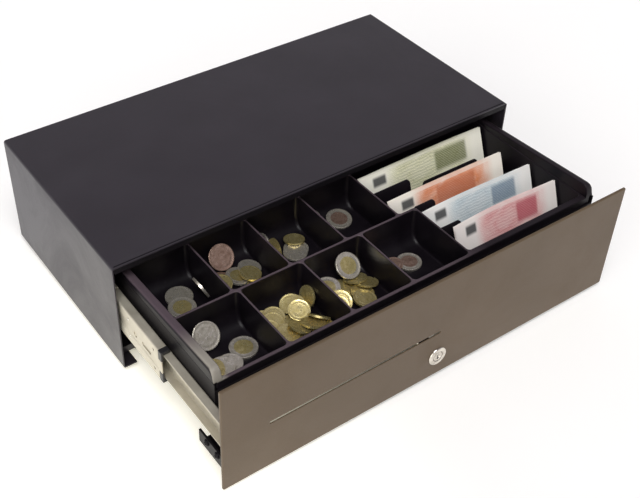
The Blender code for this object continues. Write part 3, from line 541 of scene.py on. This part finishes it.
def ball_strip(label, side, kind, reach, height, strip_t, ball_t, radius, count):
    """Ball retainer: a thin folded strip with lightening slots, and its two rows of steel balls."""
    name, node, body = f"cage_{label}_{kind}", f"slide_{label}_{kind}_cage", f"slide_{label}_{kind}_balls"
    lo, hi = span(node)
    edge = height + 0.15
    strip = folded(mirrored([(reach, edge), (strip_t, edge)]), 0.3, 0.7, 5)
    first, last, pitch = lo.y + 6, hi.y - 14, 15
    starts = [first + pitch * i for i in range(max(0, int((last - first) / pitch) + 1))]
    windows = web_cuts(side, [(y, y + 9, z, 2.2) for z in (-6, 6) for y in starts])
    made(name, prism(from_wall(side, strip), "Y", lo.y, hi.y), ZINC, body, cuts=[windows], replaces=[node])
    balls = bmesh.new()
    for row in (-1, 1):
        for i in range(count):
            at = (side * (WALL_X - ball_t), lo.y + (i + 0.5) * (hi.y - lo.y) / count, SLIDE_Z + row * height)
            added = bmesh.ops.create_uvsphere(balls, u_segments=14, v_segments=9, radius=radius)
            bmesh.ops.translate(balls, vec=at, verts=added["verts"])
    dress(freeze(to_object(name + "_balls", balls), 60), BEARING, body)


def slides():
    """Both slides: members with their slots and holes, ball cages, bumper caps, tongues, screws, rivets."""
    for label, side in SIDES:
        middle, inward = f"slide_{label}_middle", "X" if side < 0 else "-X"
        case_y, mid_y, out_y = [span(f"slide_{label}_{k}_member")[0].y for k in ("case", "middle", "drawer")]
        slide_piece(label, side, "case",
                    [(9.6, 19.4), (9.6, 22.5), (0, 22.5)], 1.2, 1.3, "casing",
                    web_cuts(side, [(case_y + 8, case_y + 20, 0, 2.4), (140, 156, 0, 2.4)],
                             [(case_y + 30, 9, 2.1), (190, -9, 2.1)]))
        slide_piece(label, side, "middle",
                    [(11.0, 15.5), (11.0, 18.2), (2.0, 18.2), (2.0, 7.0), (2.6, 6.0)], 1.1, 0.9, middle,
                    web_cuts(side, [(mid_y + 14, mid_y + 30, 0, 2.2), (mid_y + 70, mid_y + 84, 0, 2.2)],
                             [(mid_y + 42, 0, 3.0), (mid_y + 8, 11.5, 1.4), (mid_y + 8, -11.5, 1.4)]))
        slide_piece(label, side, "drawer",
                    [(4.6, -14.2), (12.7, -14.2), (12.7, -5.0), (12.1, -4.0)], 1.1, 0.9, "drawer",
                    web_cuts(side, [(out_y + 34, out_y + 50, 0, 2.0)],
                             [(out_y + 60, 0, 2.4), (out_y + 5, 9, 1.6), (out_y + 5, -9, 1.6)]))
        ball_strip(label, side, "outer", 8.2, 19.75, 1.45, 5.5, 1.3, 9)
        ball_strip(label, side, "inner", 9.6, 15.65, 3.5, 7.0, 1.2, 7)
        lo, hi = span(f"slide_{label}_bumper")
        caps = bmesh.new()
        for up in (-1, 1):
            cap = ((1.9, 7.5), (1.9, 18.4), (11.0, 18.4), (11.0, 14.6), (4.2, 14.6), (4.2, 7.5))
            prism(from_wall(side, [(t, up * z) for t, z in cap]), "Y", lo.y, hi.y, caps)
        made(f"stop_{label}", caps, BLACK_PLASTIC, middle, bevel=0.7, segments=3,
             replaces=[f"slide_{label}_bumper"])
        x0, x1 = sorted((side * (WALL_X - 2.0), side * (WALL_X - 3.1)))
        tongue = block((x0, lo.y + 0.5, SLIDE_Z - 7.2), (x1, hi.y + 0.5, SLIDE_Z + 7.2))
        made(f"rail_{label}_tongue", tongue, ZINC, middle, bevel=0.2, segments=1)
        for i, y in enumerate((out_y + 14, out_y + 26, out_y + 76)):
            pan_screw(f"rail_screw_{label}_{i + 1}", (side * (WALL_X - 11.6), y, SLIDE_Z), inward, "drawer",
                      radius=2.6, height=1.6, shank=1.4)
        mid_end = span(f"slide_{label}_middle_member")[1].y
        for i, (y, z) in enumerate(((mid_y + 52, 10.5), (mid_y + 52, -10.5), (mid_end - 12, 0))):
            rivet = [(0, 0.5), (1.6, 0.5), (1.6, 0.0), (1.5, -0.35), (1.1, -0.62), (0, -0.7)]
            bm = turned([(r, -side * h) for r, h in rivet], (side * (WALL_X - 2.0), y, SLIDE_Z + z), "X", 20)
            dress(freeze(to_object(f"rail_rivet_{label}_{i + 1}", bm)), ZINC_ACROSS, middle)


# ---- drawer

SLOT_X, SLOT_Z = (-180.0, 4.0), 60.0    # ends and height of the document slot


def drawer_front():
    """Fascia pressed with rounded edges, the document slot and the lock's hole through it."""
    lo, hi = span("fascia")
    y = lo.y
    shell = prism([(lo.x, lo.z), (hi.x, lo.z), (hi.x, hi.z), (lo.x, hi.z)], "Y", y, hi.y)
    rim = [e for e in shell.edges if all(abs(v.co.y - y) < 0.01 for v in e.verts)]
    corners = [e for e in shell.edges if abs(e.verts[0].co.y - e.verts[1].co.y) > 1]
    bmesh.ops.bevel(shell, geom=rim + corners, offset=1.3, offset_type="OFFSET", segments=4, profile=0.5,
                    affect="EDGES")
    hollow = block((lo.x + SHEET, y + SHEET, lo.z + SHEET), (hi.x - SHEET, y + 12, hi.z - SHEET))
    lock_x, _, lock_z = middle_of("lock_housing")
    openings = prism(capsule(*SLOT_X, SLOT_Z, 1.5), "Y", y - 5, y + 12)
    turned(rod(8.4, -5, 9), (lock_x, y, lock_z), "Y", 48, openings)
    made("drawer_front", shell, FASCIA, "drawer", cuts=[hollow, openings], bevel=0.28, angle=50,
         replaces=["fascia"])


def brackets():
    """The two channels that carry the fascia, each with a foot plate and two screws."""
    for label, side in SIDES:
        node = f"fascia_bracket_{label}"
        lo, hi = span(node)
        inner, outer = sorted((abs(lo.x), abs(hi.x)))
        low, high, wall = lo.z, hi.z, 2.0
        section = folded([(inner, high), (inner, low), (outer, low), (outer, high - 2)], wall, 1.5)
        x0, x1 = sorted((side * (outer - 0.1), side * (outer - 24)))
        plate = block((x0, lo.y, low + 0.1), (x1, lo.y + wall, high - 0.1))
        made(f"front_bracket_{label}", prism([(side * u, v) for u, v in section], "Y", lo.y + 1, hi.y),
             BLACK_STEEL, "drawer", joins=[plate], bevel=0.4, angle=50, replaces=[node])
        for i, y in enumerate((lo.y + 9, lo.y + 25)):
            pan_screw(f"bracket_screw_{label}_{i + 1}", (side * outer, y, low + 12),
                      "X" if side < 0 else "-X", "drawer", 3.2, 2.0, 3.5, material=BLACK_STEEL)


def lock():
    """Chromed barrel with its rolled flange, and the plug that turns in it with its keyway."""
    lo, hi = span("lock_housing")
    x, _, z = middle_of("lock_housing")
    front = lo.y
    rim = [(5.6, front + 0.5), (5.9, front + 0.15), (6.4, front), (8.6, front), (9.4, front + 0.25),
           (9.85, front + 0.7), (10.0, front + 1.3), (8.1, front + 1.3), (8.1, hi.y), (5.6, hi.y)]
    made("lock_barrel", turned(rim, (x, 0, z), "Y", 56), CHROME, "drawer", smooth=40,
         replaces=["lock_housing"])
    lo, hi = span("lock_plug")
    face = lo.y
    plug = [(0, face + 0.5), (2.2, face + 0.5), (2.6, face), (4.7, face), (5.1, face + 0.2),
            (5.3, face + 0.6), (5.3, hi.y - 2.8), (3, hi.y - 2.8), (3, hi.y - 0.2), (2.8, hi.y), (0, hi.y)]
    key = ((-0.65, -3.4), (0.15, -3.4), (0.15, -0.6), (0.65, -0.2), (0.65, 3.4), (-0.15, 3.4), (-0.15, 1.0),
           (-0.65, 0.6))
    keyway = prism([(x + u, z + v) for u, v in key], "Y", face - 5, face + 15)
    made("lock_core", turned(plug, (x, 0, z), "Y", 48), CHROME, "lock_cylinder", cuts=[keyway], smooth=40,
         replaces=["lock_plug"])


# ---- money insert

def neighbours(corners):
    """Each corner of a closed outline with the headings of the edges that meet there."""
    points = [Vector(c) for c in corners]
    for i, at in enumerate(points):
        yield at, (at - points[i - 1]).normalized(), (points[(i + 1) % len(points)] - at).normalized()


def inset(corners, by):
    """A right-angled, anticlockwise outline moved inwards."""
    return [at + Vector((-a.y - b.y, a.x + b.x)) * by for at, a, b in neighbours(corners)]


def rounded(corners, radius, z, steps=4):
    """The same kind of outline with rounded corners, at height z."""
    ring = []
    for at, a, b in neighbours(corners):
        for k in range(steps + 1):
            t = radians(90 * k / steps)
            p = at + (b - a) * radius - b * radius * cos(t) + a * radius * sin(t)
            ring.append((p.x, p.y, z))
    return ring


CUP_ROWS = ((-134.0, -58.2, 59.0), (-55.8, 20.5, 39.0))     # front, back and right side of each row of cups
CUP_LEFT, CUP_WALL = -206.0, 2.2
BAY_FRONT, BAY_RIGHT = -131.0, 206.0                        # the note bay's front and right side
LEAN = 20                                                   # degrees; how far notes and dividers lean back


def insert_tray():
    """Moulded insert: scooped coin cups with rolled rims and an L-shaped bay for notes."""
    lo, hi = span("insert_tray")
    half, top = hi.x - 3.0, hi.z - RIM_RISE
    floor, bay_floor, under = 67.0, 39.5, 64.5              # floors of the cups and the bay, cups' underside
    roll, scoop, heel = 0.95, 33.0, 16.0                    # radii of the rims, and of a cup's front and back
    bm = bmesh.new()
    rims = []

    def hollow(mouth, radius, lower):
        """Opening with a rolled rim; lower lists (corners, height) down to its floor."""
        rings = []
        for a in (0, 22.5, 45, 67.5):
            out = roll * (1 - sin(radians(a)))
            height = top - roll * (1 - cos(radians(a)))
            rings.append(rounded(inset(mouth, -out), radius + out, height))
        rings += [rounded(corners, radius, z) for corners, z in lower]
        rims.extend(loft(bm, rings, (False, True)))

    def box(x0, x1, y0, y1):
        return [(x0, y0), (x1, y0), (x1, y1), (x0, y1)]

    def round_in(radius, height):
        """How far a wall that curves into the floor has come in at this height."""
        return radius - sqrt(max(0, radius ** 2 - max(0, radius - height) ** 2))

    curve = [scoop * (1 - cos(radians(a))) for a in range(81, 0, -9)]
    for y0, y1, right in CUP_ROWS:
        pitch = (right - CUP_LEFT + CUP_WALL) / 4
        for column in range(4):
            x0 = CUP_LEFT + pitch * column
            x1 = x0 + pitch - CUP_WALL
            lower = []
            for h in [top - roll - floor, *curve, 0.0]:
                side = round_in(2.5, h)
                corners = box(x0 + side, x1 - side, y0 + round_in(scoop, h), y1 - round_in(heel, h))
                lower.append((corners, floor + h))
            hollow(box(x0, x1, y0, y1), 4.0, lower)
    front, rear = [row[2] + CUP_WALL for row in CUP_ROWS]
    step, back = CUP_ROWS[1][:2]
    bay = [(front, BAY_FRONT), (BAY_RIGHT, BAY_FRONT), (BAY_RIGHT, back), (rear, back), (rear, step),
           (front, step)]
    hollow(bay, 3.0, [(bay, top - roll)]
           + [(inset(bay, round_in(2.5, h)), bay_floor + h) for h in (2.5, 1.2, 0.4, 0.0)])
    outer = box(-half, half, lo.y, hi.y)
    skin = [rounded(inset(outer, i), 1.2, top - d) for i, d in ((1.0, 0.0), (0.3, 0.3), (0.0, 1.0))]
    rims.extend(loft(bm, skin + [rounded(outer, 1.2, lo.z)], (False, True)))
    bmesh.ops.triangle_fill(bm, use_beauty=True, use_dissolve=False, edges=rims, normal=(0, 0, 1))

    deep_x, pocket_x, pocket_y = 33.0, front - 8, -64.0     # left side of the deep part, and its front pocket
    channel = prism([(2.5 - half, lo.y - 5), (pocket_x, lo.y - 5), (pocket_x, pocket_y), (deep_x, pocket_y),
                     (deep_x, hi.y + 5), (2.5 - half, hi.y + 5)], "Z", lo.z - 5, under)
    return made("money_insert", bm, TRAY_PLASTIC, "drawer", cuts=[channel], smooth=50,
                replaces=["insert_tray"])


def insert_rims():
    """Sloping rims along the insert's sides; each hooks over the drawer pan."""
    lo, hi = span("insert_tray")
    half, top, inner = hi.x - 3.0, hi.z - RIM_RISE, BAY_RIGHT + 1
    for label, side in SIDES:
        rings = []
        for y, z in ((lo.y, top + 1.2), (lo.y + 0.6, top + 4.5), (lo.y + 2.2, hi.z - 3.0),
                     (lo.y + 4.2, hi.z - 1.0), (lo.y + 7.5, hi.z - 0.3), (hi.y - 0.8, top + 4.0),
                     (hi.y, top + 3.4)):
            r, outer_r = min(1.3, (z - top) / 2), min(4.2, 0.8 * (z - top))
            section = ([(inner, top - 1), (half - 0.5, top - 1), (half - 0.5, top + 0.1), (hi.x, top + 0.1)]
                       + arc(hi.x - outer_r, z - outer_r, outer_r, 0, 90, 6)
                       + arc(inner + r, z - r, r, 90, 180, 4))
            rings.append([(side * u, y, v) for u, v in section])
        bm = bmesh.new()
        loft(bm, rings)
        dress(freeze(to_object(f"insert_rim_{label}", bm), 40), TRAY_PLASTIC, "drawer", ["insert_tray"])


def note_dividers():
    """Leaning plates with a tall tab, a notch for the fingers, rounded edges and two stiffening ribs."""
    for index in (1, 2, 3):
        node = f"note_divider_{index}"
        lo, hi = span(node)
        thick, lean, tab = 2.0, radians(LEAN), hi.z - lo.z
        left, right, low, middle, r = lo.x, hi.x, tab - 24, tab - 9, 4
        tab_x, x0, x1 = right - 118.2, right - 102.7, right - 29.7
        face = (arc(left + 2, 2, 2, 180, 270, 3) + arc(right - 2, 2, 2, 270, 360, 3)
                + arc(right - r, low - r, r, 0, 90, 6) + arc(x1 + r, low + r, r, 270, 180, 6)
                + arc(x1 - r, middle - r, r, 0, 90, 6) + arc(x0 + r, middle - r, r, 90, 180, 6)
                + arc(x0 - r, low + r, r, 0, -90, 6) + arc(tab_x + r, low + r, r, 270, 180, 6)
                + arc(tab_x - r, tab - r, r, 0, 90, 6) + arc(left + 3, tab - 3, 3, 90, 180, 6))
        bm = prism(face, "Y", 0, thick)
        for x in (x0 + 14, x1 - 14):
            prism(capsule(8, middle - 8, x, 1.5), "Y", -0.6, 0.4, bm)
        for vert in list(bm.verts)[2 * len(face):]:
            vert.co.x, vert.co.z = vert.co.z, vert.co.x
        for vert in bm.verts:
            vert.co.y += vert.co.z * tan(lean) + lo.y
            vert.co.z += lo.z
        made(f"note_fin_{index}", bm, TRAY_PLASTIC, "drawer", bevel=0.45, segments=3, angle=50,
             replaces=[node])


# ---- money

NOTES = (  # name, foot y, left x, length, height; tint, deep colour, edge colour; ends of the large patch
    ("note_red", -123.0, 72.5, 131.0, 67.0,
     (0.78, 0.42, 0.4), (0.42, 0.035, 0.07), (0.86, 0.8, 0.76), (0.6, 0.8)),
    ("note_blue", -88.3, 63.6, 139.8, 65.0,
     (0.62, 0.72, 0.74), (0.12, 0.19, 0.27), (0.86, 0.85, 0.82), (0.62, 0.84)),
    ("note_orange", -60.0, 45.3, 146.4, 67.0,
     (0.74, 0.24, 0.09), (0.5, 0.13, 0.05), (0.88, 0.83, 0.74), (0.4, 0.74)),
    ("note_green", -17.5, 41.9, 161.1, 68.6,
     (0.76, 0.75, 0.5), (0.09, 0.11, 0.02), (0.87, 0.85, 0.74), (0.6, 0.86)),
)


def notes():
    """Two sheets of each note, leaning back like the dividers, bowed and curled at the top."""
    lean = radians(LEAN)
    floor = span("note_divider_1")[0].z
    columns, rows, thick = 36, 14, 0.16
    border = ([(i, 0) for i in range(columns)] + [(columns, j) for j in range(rows)]
              + [(i, rows) for i in range(columns, 0, -1)] + [(0, j) for j in range(rows, 0, -1)])

    def panel(bm, uv, grid, corners):
        """A face through (skin, column, row) corners, with its place on the sheet as u and v."""
        face = bm.faces.new([grid[corner] for corner in corners])
        for loop, (_, i, j) in zip(face.loops, corners):
            loop[uv].uv = (i / columns, j / rows)

    for n, (name, foot, left, length, height, *look) in enumerate(NOTES):
        paper = banknote_paper(name + "_paper", *look)
        for layer in (0, 1):
            bm = bmesh.new()
            uv = bm.loops.layers.uv.new("sheet")
            bow = 1.0 + layer * 0.9
            grid = {}
            for skin in (0, 1):
                for i in range(columns + 1):
                    for j in range(rows + 1):
                        u, v = i / columns, j / rows
                        bulge = bow * sin(pi * u) * (0.4 + 0.6 * v) + 0.7 * sin(5 * u + n) * v
                        curl = 1.6 * v ** 3 * (1 if layer else 0.6)
                        y = foot + 0.9 * layer + height * v * sin(lean) + bulge + curl + skin * thick
                        z = floor + (height - 0.5 * layer) * v * cos(lean) + 0.2
                        x = left + length * u + layer * (0.7 - 1.1 * v)
                        grid[skin, i, j] = bm.verts.new((x, y, z))
            for i in range(columns):
                for j in range(rows):
                    ring = [(i, j), (i + 1, j), (i + 1, j + 1), (i, j + 1)]
                    panel(bm, uv, grid, [(0, *at) for at in ring])
                    panel(bm, uv, grid, [(1, *at) for at in ring[::-1]])
            for a, b in zip(border, border[1:] + border[:1]):
                panel(bm, uv, grid, [(0, *b), (0, *a), (1, *a), (1, *b)])
            dress(freeze(to_object(f"{name}_{layer + 1}", bm), 60), paper, "drawer")


def coin_mesh(radius, thick, two_metals):
    """Struck coin: rolled rim, sunk field, inner ring and a raised generic star of petals."""
    half = thick / 2
    face = [(radius * r, half - sunk) for r, sunk in (
        (0.985, 0.0), (0.93, 0.0), (0.9, 0.12), (0.7, 0.14), (0.66, 0.08), (0.62, 0.14), (0.3, 0.14))]
    profile = ([(0, -half + 0.05)] + [(r, -h) for r, h in reversed(face)]
               + [(radius, -half + 0.08), (radius, half - 0.08)] + face + [(0, half - 0.05)])
    bm = turned(profile, (0, 0, 0), "Z", 40)
    for vert in bm.verts:
        r = hypot(vert.co.x, vert.co.y)
        if 0.25 * radius < r < 0.4 * radius and abs(vert.co.z) > half * 0.5:
            petal = 1 + 0.28 * cos(6 * atan2(vert.co.y, vert.co.x))
            vert.co.x *= petal
            vert.co.y *= petal
    for f in bm.faces:
        inner = hypot(*f.calc_center_median()[:2]) < radius * 0.64
        f.material_index = 1 if two_metals and inner else 0
    bmesh.ops.recalc_face_normals(bm, faces=bm.faces)
    return bm


PILES = (  # middle and spread across and along the cup; how many, radius, thickness, metal, inner metal
    ((-104, 11, -88, 13), [(20, 10.4, 2.0, "gold"), (6, 11.6, 2.1, "gold")]),
    ((-46, 10, -88, 12), [(9, 11.1, 2.1, "gold"), (3, 12.9, 2.2, "silver", "gold")]),
)
SINGLES = (  # x, y, height, tilt back and to the right in degrees, radius, thickness, metal, inner metal
    (-180, -67.4, 77.8, 50, 0, 12.9, 2.2, "silver"),
    (-163, -79, 69.8, 6, 0, 12.9, 2.2, "silver", "gold"),
    (-177, -100, 69.2, -4, 0, 12.1, 2.2, "silver"),
    (-186, -104, 73.5, -8, 6, 12.9, 2.2, "silver"),
    (34, -84, 69, 0, 0, 12.1, 2.2, "silver", "copper"),
    (18, -80, 72, 8, 10, 9.4, 1.6, "copper"),
    (-170, -4, 69, 0, 0, 12.9, 2.2, "silver"),
    (-175, -20, 73, 0, 5, 12.9, 2.2, "silver", "gold"),
    (-152.4, -14, 78.3, 0, 65, 11.6, 2.2, "silver"),
    (-115, 11.2, 77.8, 50, 0, 12.9, 2.2, "copper"),
    (-128, -8, 69, 0, 0, 12.1, 2.2, "copper"),
    (-110, -16, 70, 0, 5, 12.1, 2.2, "silver", "gold"),
    (-101, -18, 73, 5, -10, 11.1, 2.1, "silver"),
    (-44, -10, 69, 0, 0, 12.1, 2.2, "silver"),
    (-48, -16, 73, 12, 0, 11.6, 2.1, "silver"),
    (-76.2, 4, 78.5, 0, -65, 12.1, 2.2, "silver", "copper"),
    (16, 4, 71.2, 12, 0, 12.9, 2.2, "silver", "copper"),
    (-14.4, 4, 78.3, 0, -65, 11.6, 2.1, "silver"),
)
PROPPED = 40            # coins tilted further than this, in degrees, lean on a wall of their cup and stay put
PILE_LOW, PILE_PITCH = 76, 3.2          # height of a pile's lowest coin before it falls, rise per coin
DROP_SCALE = 100.0      # the coins fall in a world a hundred times larger, where the solver is stable
FALL_FRAMES = 130


def drop_coins(tray):
    """Hold every coin over its place, let them fall, and keep where they came to rest."""
    pick = random.Random(11)
    coins, propped = [], []

    def coin(x, y, z, turn, radius, thick, outer, inner=None):
        bm = coin_mesh(radius, thick, inner)
        bmesh.ops.scale(bm, vec=(MM * DROP_SCALE,) * 3, verts=bm.verts)
        mesh = to_mesh("coin", bm)
        for metal in filter(None, (outer, inner)):
            mesh.materials.append(COIN_METALS[metal])
        obj = add_object(f"coin_{len(coins) + 1:02d}", mesh)
        obj.location = Vector((x * MM, FRONT_Y + y * MM, z * MM)) * DROP_SCALE
        obj.rotation_euler = turn
        coins.append(obj)

    for x, y, z, back, right, *kind in SINGLES:
        coin(x, y, z, (radians(back), radians(right), 0), *kind)
        if max(abs(back), abs(right)) > PROPPED:
            propped.append(coins[-1])
    for (x, dx, y, dy), kinds in PILES:
        z = PILE_LOW
        for count, *kind in kinds:
            for _ in range(count):
                coin(x + pick.uniform(-dx, dx), y + pick.uniform(-dy, dy), z + pick.uniform(0, 2),
                     (pick.uniform(-0.5, 0.5), pick.uniform(-0.5, 0.5), pick.uniform(0, 6.28)), *kind)
                z += PILE_PITCH
    ground = add_object("drop_ground", tray.data.copy())
    ground.data.transform(Matrix.Scale(DROP_SCALE, 4))
    settle([ground, *propped], [obj for obj in coins if obj not in propped])
    resting = [obj.matrix_world.copy() for obj in coins]
    bpy.data.objects.remove(ground)
    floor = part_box("insert_tray")[0].z
    for obj, where in zip(coins, resting):
        obj.data.transform(Matrix.Scale(1 / DROP_SCALE, 4) @ where)
        heights = [v.co.z for v in obj.data.vertices]
        if min(heights) < floor or max(heights) > TRAY_TOP:
            bpy.data.objects.remove(obj)        # fell past the insert, or stopped on its deck
            continue
        obj.matrix_world = Matrix.Identity(4)
        obj.data.shade_smooth()
        obj.data.set_sharp_from_angle(angle=radians(30))
        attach(obj, "drawer")


def settle(fixed, coins):
    """Rigid-body fall of the coins on to what is fixed; leaves them where they came to rest."""
    scene = bpy.context.scene

    def on(obj):
        return bpy.context.temp_override(object=obj, active_object=obj, selected_objects=[obj])

    bpy.ops.rigidbody.world_add()
    world = scene.rigidbody_world
    world.substeps_per_frame, world.solver_iterations = 12, 20
    world.point_cache.frame_start, world.point_cache.frame_end = 1, 150
    for obj in fixed + coins:
        with on(obj):
            bpy.ops.rigidbody.object_add()
        body = obj.rigid_body
        body.type = "PASSIVE" if obj in fixed else "ACTIVE"
        body.collision_shape = "MESH" if obj is fixed[0] else "CONVEX_HULL"
        body.friction, body.restitution = 0.62, 0.05
        body.use_margin, body.collision_margin = True, 0.004
        if obj not in fixed:
            body.mass, body.linear_damping, body.angular_damping = 1.0, 0.08, 0.35
    for step in range(1, FALL_FRAMES + 1):
        scene.frame_set(step)
    depsgraph = bpy.context.evaluated_depsgraph_get()
    rest = [obj.evaluated_get(depsgraph).matrix_world.copy() for obj in coins]
    scene.frame_set(1)
    for obj in fixed + coins:
        with on(obj):
            bpy.ops.rigidbody.object_remove()
    with bpy.context.temp_override(scene=scene):
        bpy.ops.rigidbody.world_remove()
    for obj, matrix in zip(coins, rest):
        obj.matrix_world = matrix


# ---- mechanism

def coil_spring(name, radius, wire, turns, start, end, body, replaces):
    """Wire coil from start to end, its turns drawn closer at both ends."""
    steps, ring = 28, 8
    total = int(turns * steps)
    centre, along = Vector(start), (Vector(end) - Vector(start))
    w = along.normalized()
    u = w.orthogonal().normalized()
    v = w.cross(u)
    rings = []
    for k in range(total + 1):
        a = tau * k / steps
        share = k / total
        eased = share - 0.035 * sin(tau * share)
        out = u * cos(a) + v * sin(a)
        tangent = (v * cos(a) - u * sin(a)) * radius + along / tau / turns
        side = tangent.normalized().cross(out)
        at = centre + along * eased + out * radius
        rings.append([at + (out * cos(b) + side * sin(b)) * wire
                      for b in [tau * i / ring for i in range(ring)]])
    bm = bmesh.new()
    loft(bm, rings)
    return dress(freeze(to_object(name, bm), 50), BEARING, body, replaces)


def mechanism():
    """The kick-out spring, which the drawer squashes, the hook's spring and the socket's contacts."""
    lo, hi = span("ejector_spring")
    x, _, z = middle_of("ejector_spring")
    wire = 0.6
    spring = coil_spring("kick_spring", (hi.x - lo.x) / 2 - wire, wire, 7, (x, lo.y + wire, z),
                         (x, hi.y - wire, z), "casing", ["ejector_spring"])
    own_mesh(spring)
    lo, hi = span("latch_spring")
    x, y, _ = middle_of("latch_spring")
    wire = 0.4
    coil_spring("hook_spring", (hi.x - lo.x) / 2 - wire, wire, 3, (x, y, lo.z + wire), (x, y, hi.z - wire),
                "casing", ["latch_spring"])
    lo, hi = span("control_socket")
    contacts, pitch = bmesh.new(), 1.02
    for i in range(6):
        x = (lo.x + hi.x) / 2 + (i - 2.5) * pitch
        prism(capsule(hi.y - 10.5, hi.y - 2.5, hi.z - 4.2, 0.18, 4), "X", x - 0.2, x + 0.2, contacts)
    made("socket_contacts", contacts, GOLD_PLATE, "casing")


# ---- finishes of the CAD nodes that stay

CAD_FINISHES = (
    (CASING, ("case_back_panel", "case_base_plate")),
    (BLACK_STEEL, ("drawer_pan",)),
    (RUBBER, ("foot_front", "foot_rear")),
    (ZINC_ACROSS, ("foot_screw", "latch_", "lock_nut", "lock_cam", "switch_lever", "solenoid_plunger")),
    (BLACK_PLASTIC, ("solenoid_body", "ejector_housing", "ejector_pusher", "switch_body", "control_socket")),
    (SHEATH, ("lead_",)),
)


def finish_cad_nodes():
    """Node materials for the CAD's own meshes, by the start of their names."""
    for name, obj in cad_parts.items():
        for material, starts in CAD_FINISHES:
            if name.startswith(starts):
                obj.data.materials.clear()
                obj.data.materials.append(material)


# ---- stage, light and camera

def floor():
    """Pale studio floor that glows warm left of the drawer's front: painted light, which also lights the
    casing's side.
    """
    bm = bmesh.new()
    bmesh.ops.create_grid(bm, x_segments=2, y_segments=2, size=6.0)
    obj = add_object("floor", to_mesh("floor", bm))
    obj.location.z = -0.0002
    f = Finish("studio_floor", roughness=0.6)
    f.set("Base Color", f.blend(f.fit(f.noise(3, 2), 0.3, 0.7), (0.95, 0.95, 0.945), (0.97, 0.97, 0.965)))
    away = f.node("VectorMath", "Value", {0: f.node("TexCoord", "Object"), 1: (-0.4, -0.12, 0)},
                  operation="DISTANCE")
    # Painted light: the floor glows, strongest left of the drawer's front.
    f.set("Emission Color", (1.0, 0.94, 0.72))
    f.set("Emission Strength", f.fit(away, 0.12, 0.42, 0.55, 0.07, smooth=True))
    obj.data.materials.append(f.material)


def sky():
    """Soft light from all round: white at the horizon, grey with a touch of violet overhead."""
    world = bpy.data.worlds.new("studio")
    world.use_nodes = True
    tree = world.node_tree
    background = tree.nodes["Background"]
    where = tree.nodes.new("ShaderNodeTexCoord")
    split = tree.nodes.new("ShaderNodeSeparateXYZ")
    ramp = tree.nodes.new("ShaderNodeValToRGB")
    for end, position, colour in zip(ramp.color_ramp.elements, (0.0, 0.55),
                                     ((1.0, 1.0, 1.0, 1), (0.3, 0.283, 0.312, 1))):
        end.position, end.color = position, colour
    tree.links.new(where.outputs["Generated"], split.inputs[0])
    tree.links.new(split.outputs["Z"], ramp.inputs["Fac"])
    tree.links.new(ramp.outputs["Color"], background.inputs["Color"])
    background.inputs["Strength"].default_value = 0.9
    bpy.context.scene.world = world


def sun(name, azimuth, elevation, strength, angle, colour=(1, 1, 1)):
    """Soft far light; azimuth 0 shines from the front, 90 from the right."""
    data = bpy.data.lights.new(name, "SUN")
    data.energy, data.angle, data.color = strength, radians(angle), colour
    add_object(name, data).rotation_euler = (radians(90 - elevation), 0, radians(azimuth))


CAMERA_AT = (-0.4943, -0.6514, 0.7353)
CAMERA_AZIMUTH, CAMERA_ELEVATION, CAMERA_ROLL = (radians(a) for a in (35.4, 40.43, 0.97))


def camera():
    """The view from front left and above."""
    data = bpy.data.cameras.new("camera")
    data.lens, data.sensor_width = 59.45, 36.0
    data.shift_x, data.shift_y = 0.0584, -0.0257
    data.clip_start, data.clip_end = 0.01, 50
    obj = add_object("camera", data)
    obj.matrix_world = (Matrix.Translation(CAMERA_AT) @ Matrix.Rotation(-CAMERA_AZIMUTH, 4, "Z")
                        @ Matrix.Rotation(pi / 2 - CAMERA_ELEVATION, 4, "X")
                        @ Matrix.Rotation(CAMERA_ROLL, 4, "Z"))
    bpy.context.scene.camera = obj


camera()
floor()
sky()
sun("key_light", -30, 62, 2.1, 35)
sun("side_fill", -62, 18, 1.2, 50, (1.0, 0.99, 0.96))
finish_cad_nodes()
casing()
slides()
drawer_front()
brackets()
lock()
money_insert = insert_tray()
insert_rims()
note_dividers()
notes()
drop_coins(money_insert)
mechanism()

bpy.context.scene.view_settings.view_transform = "Standard"
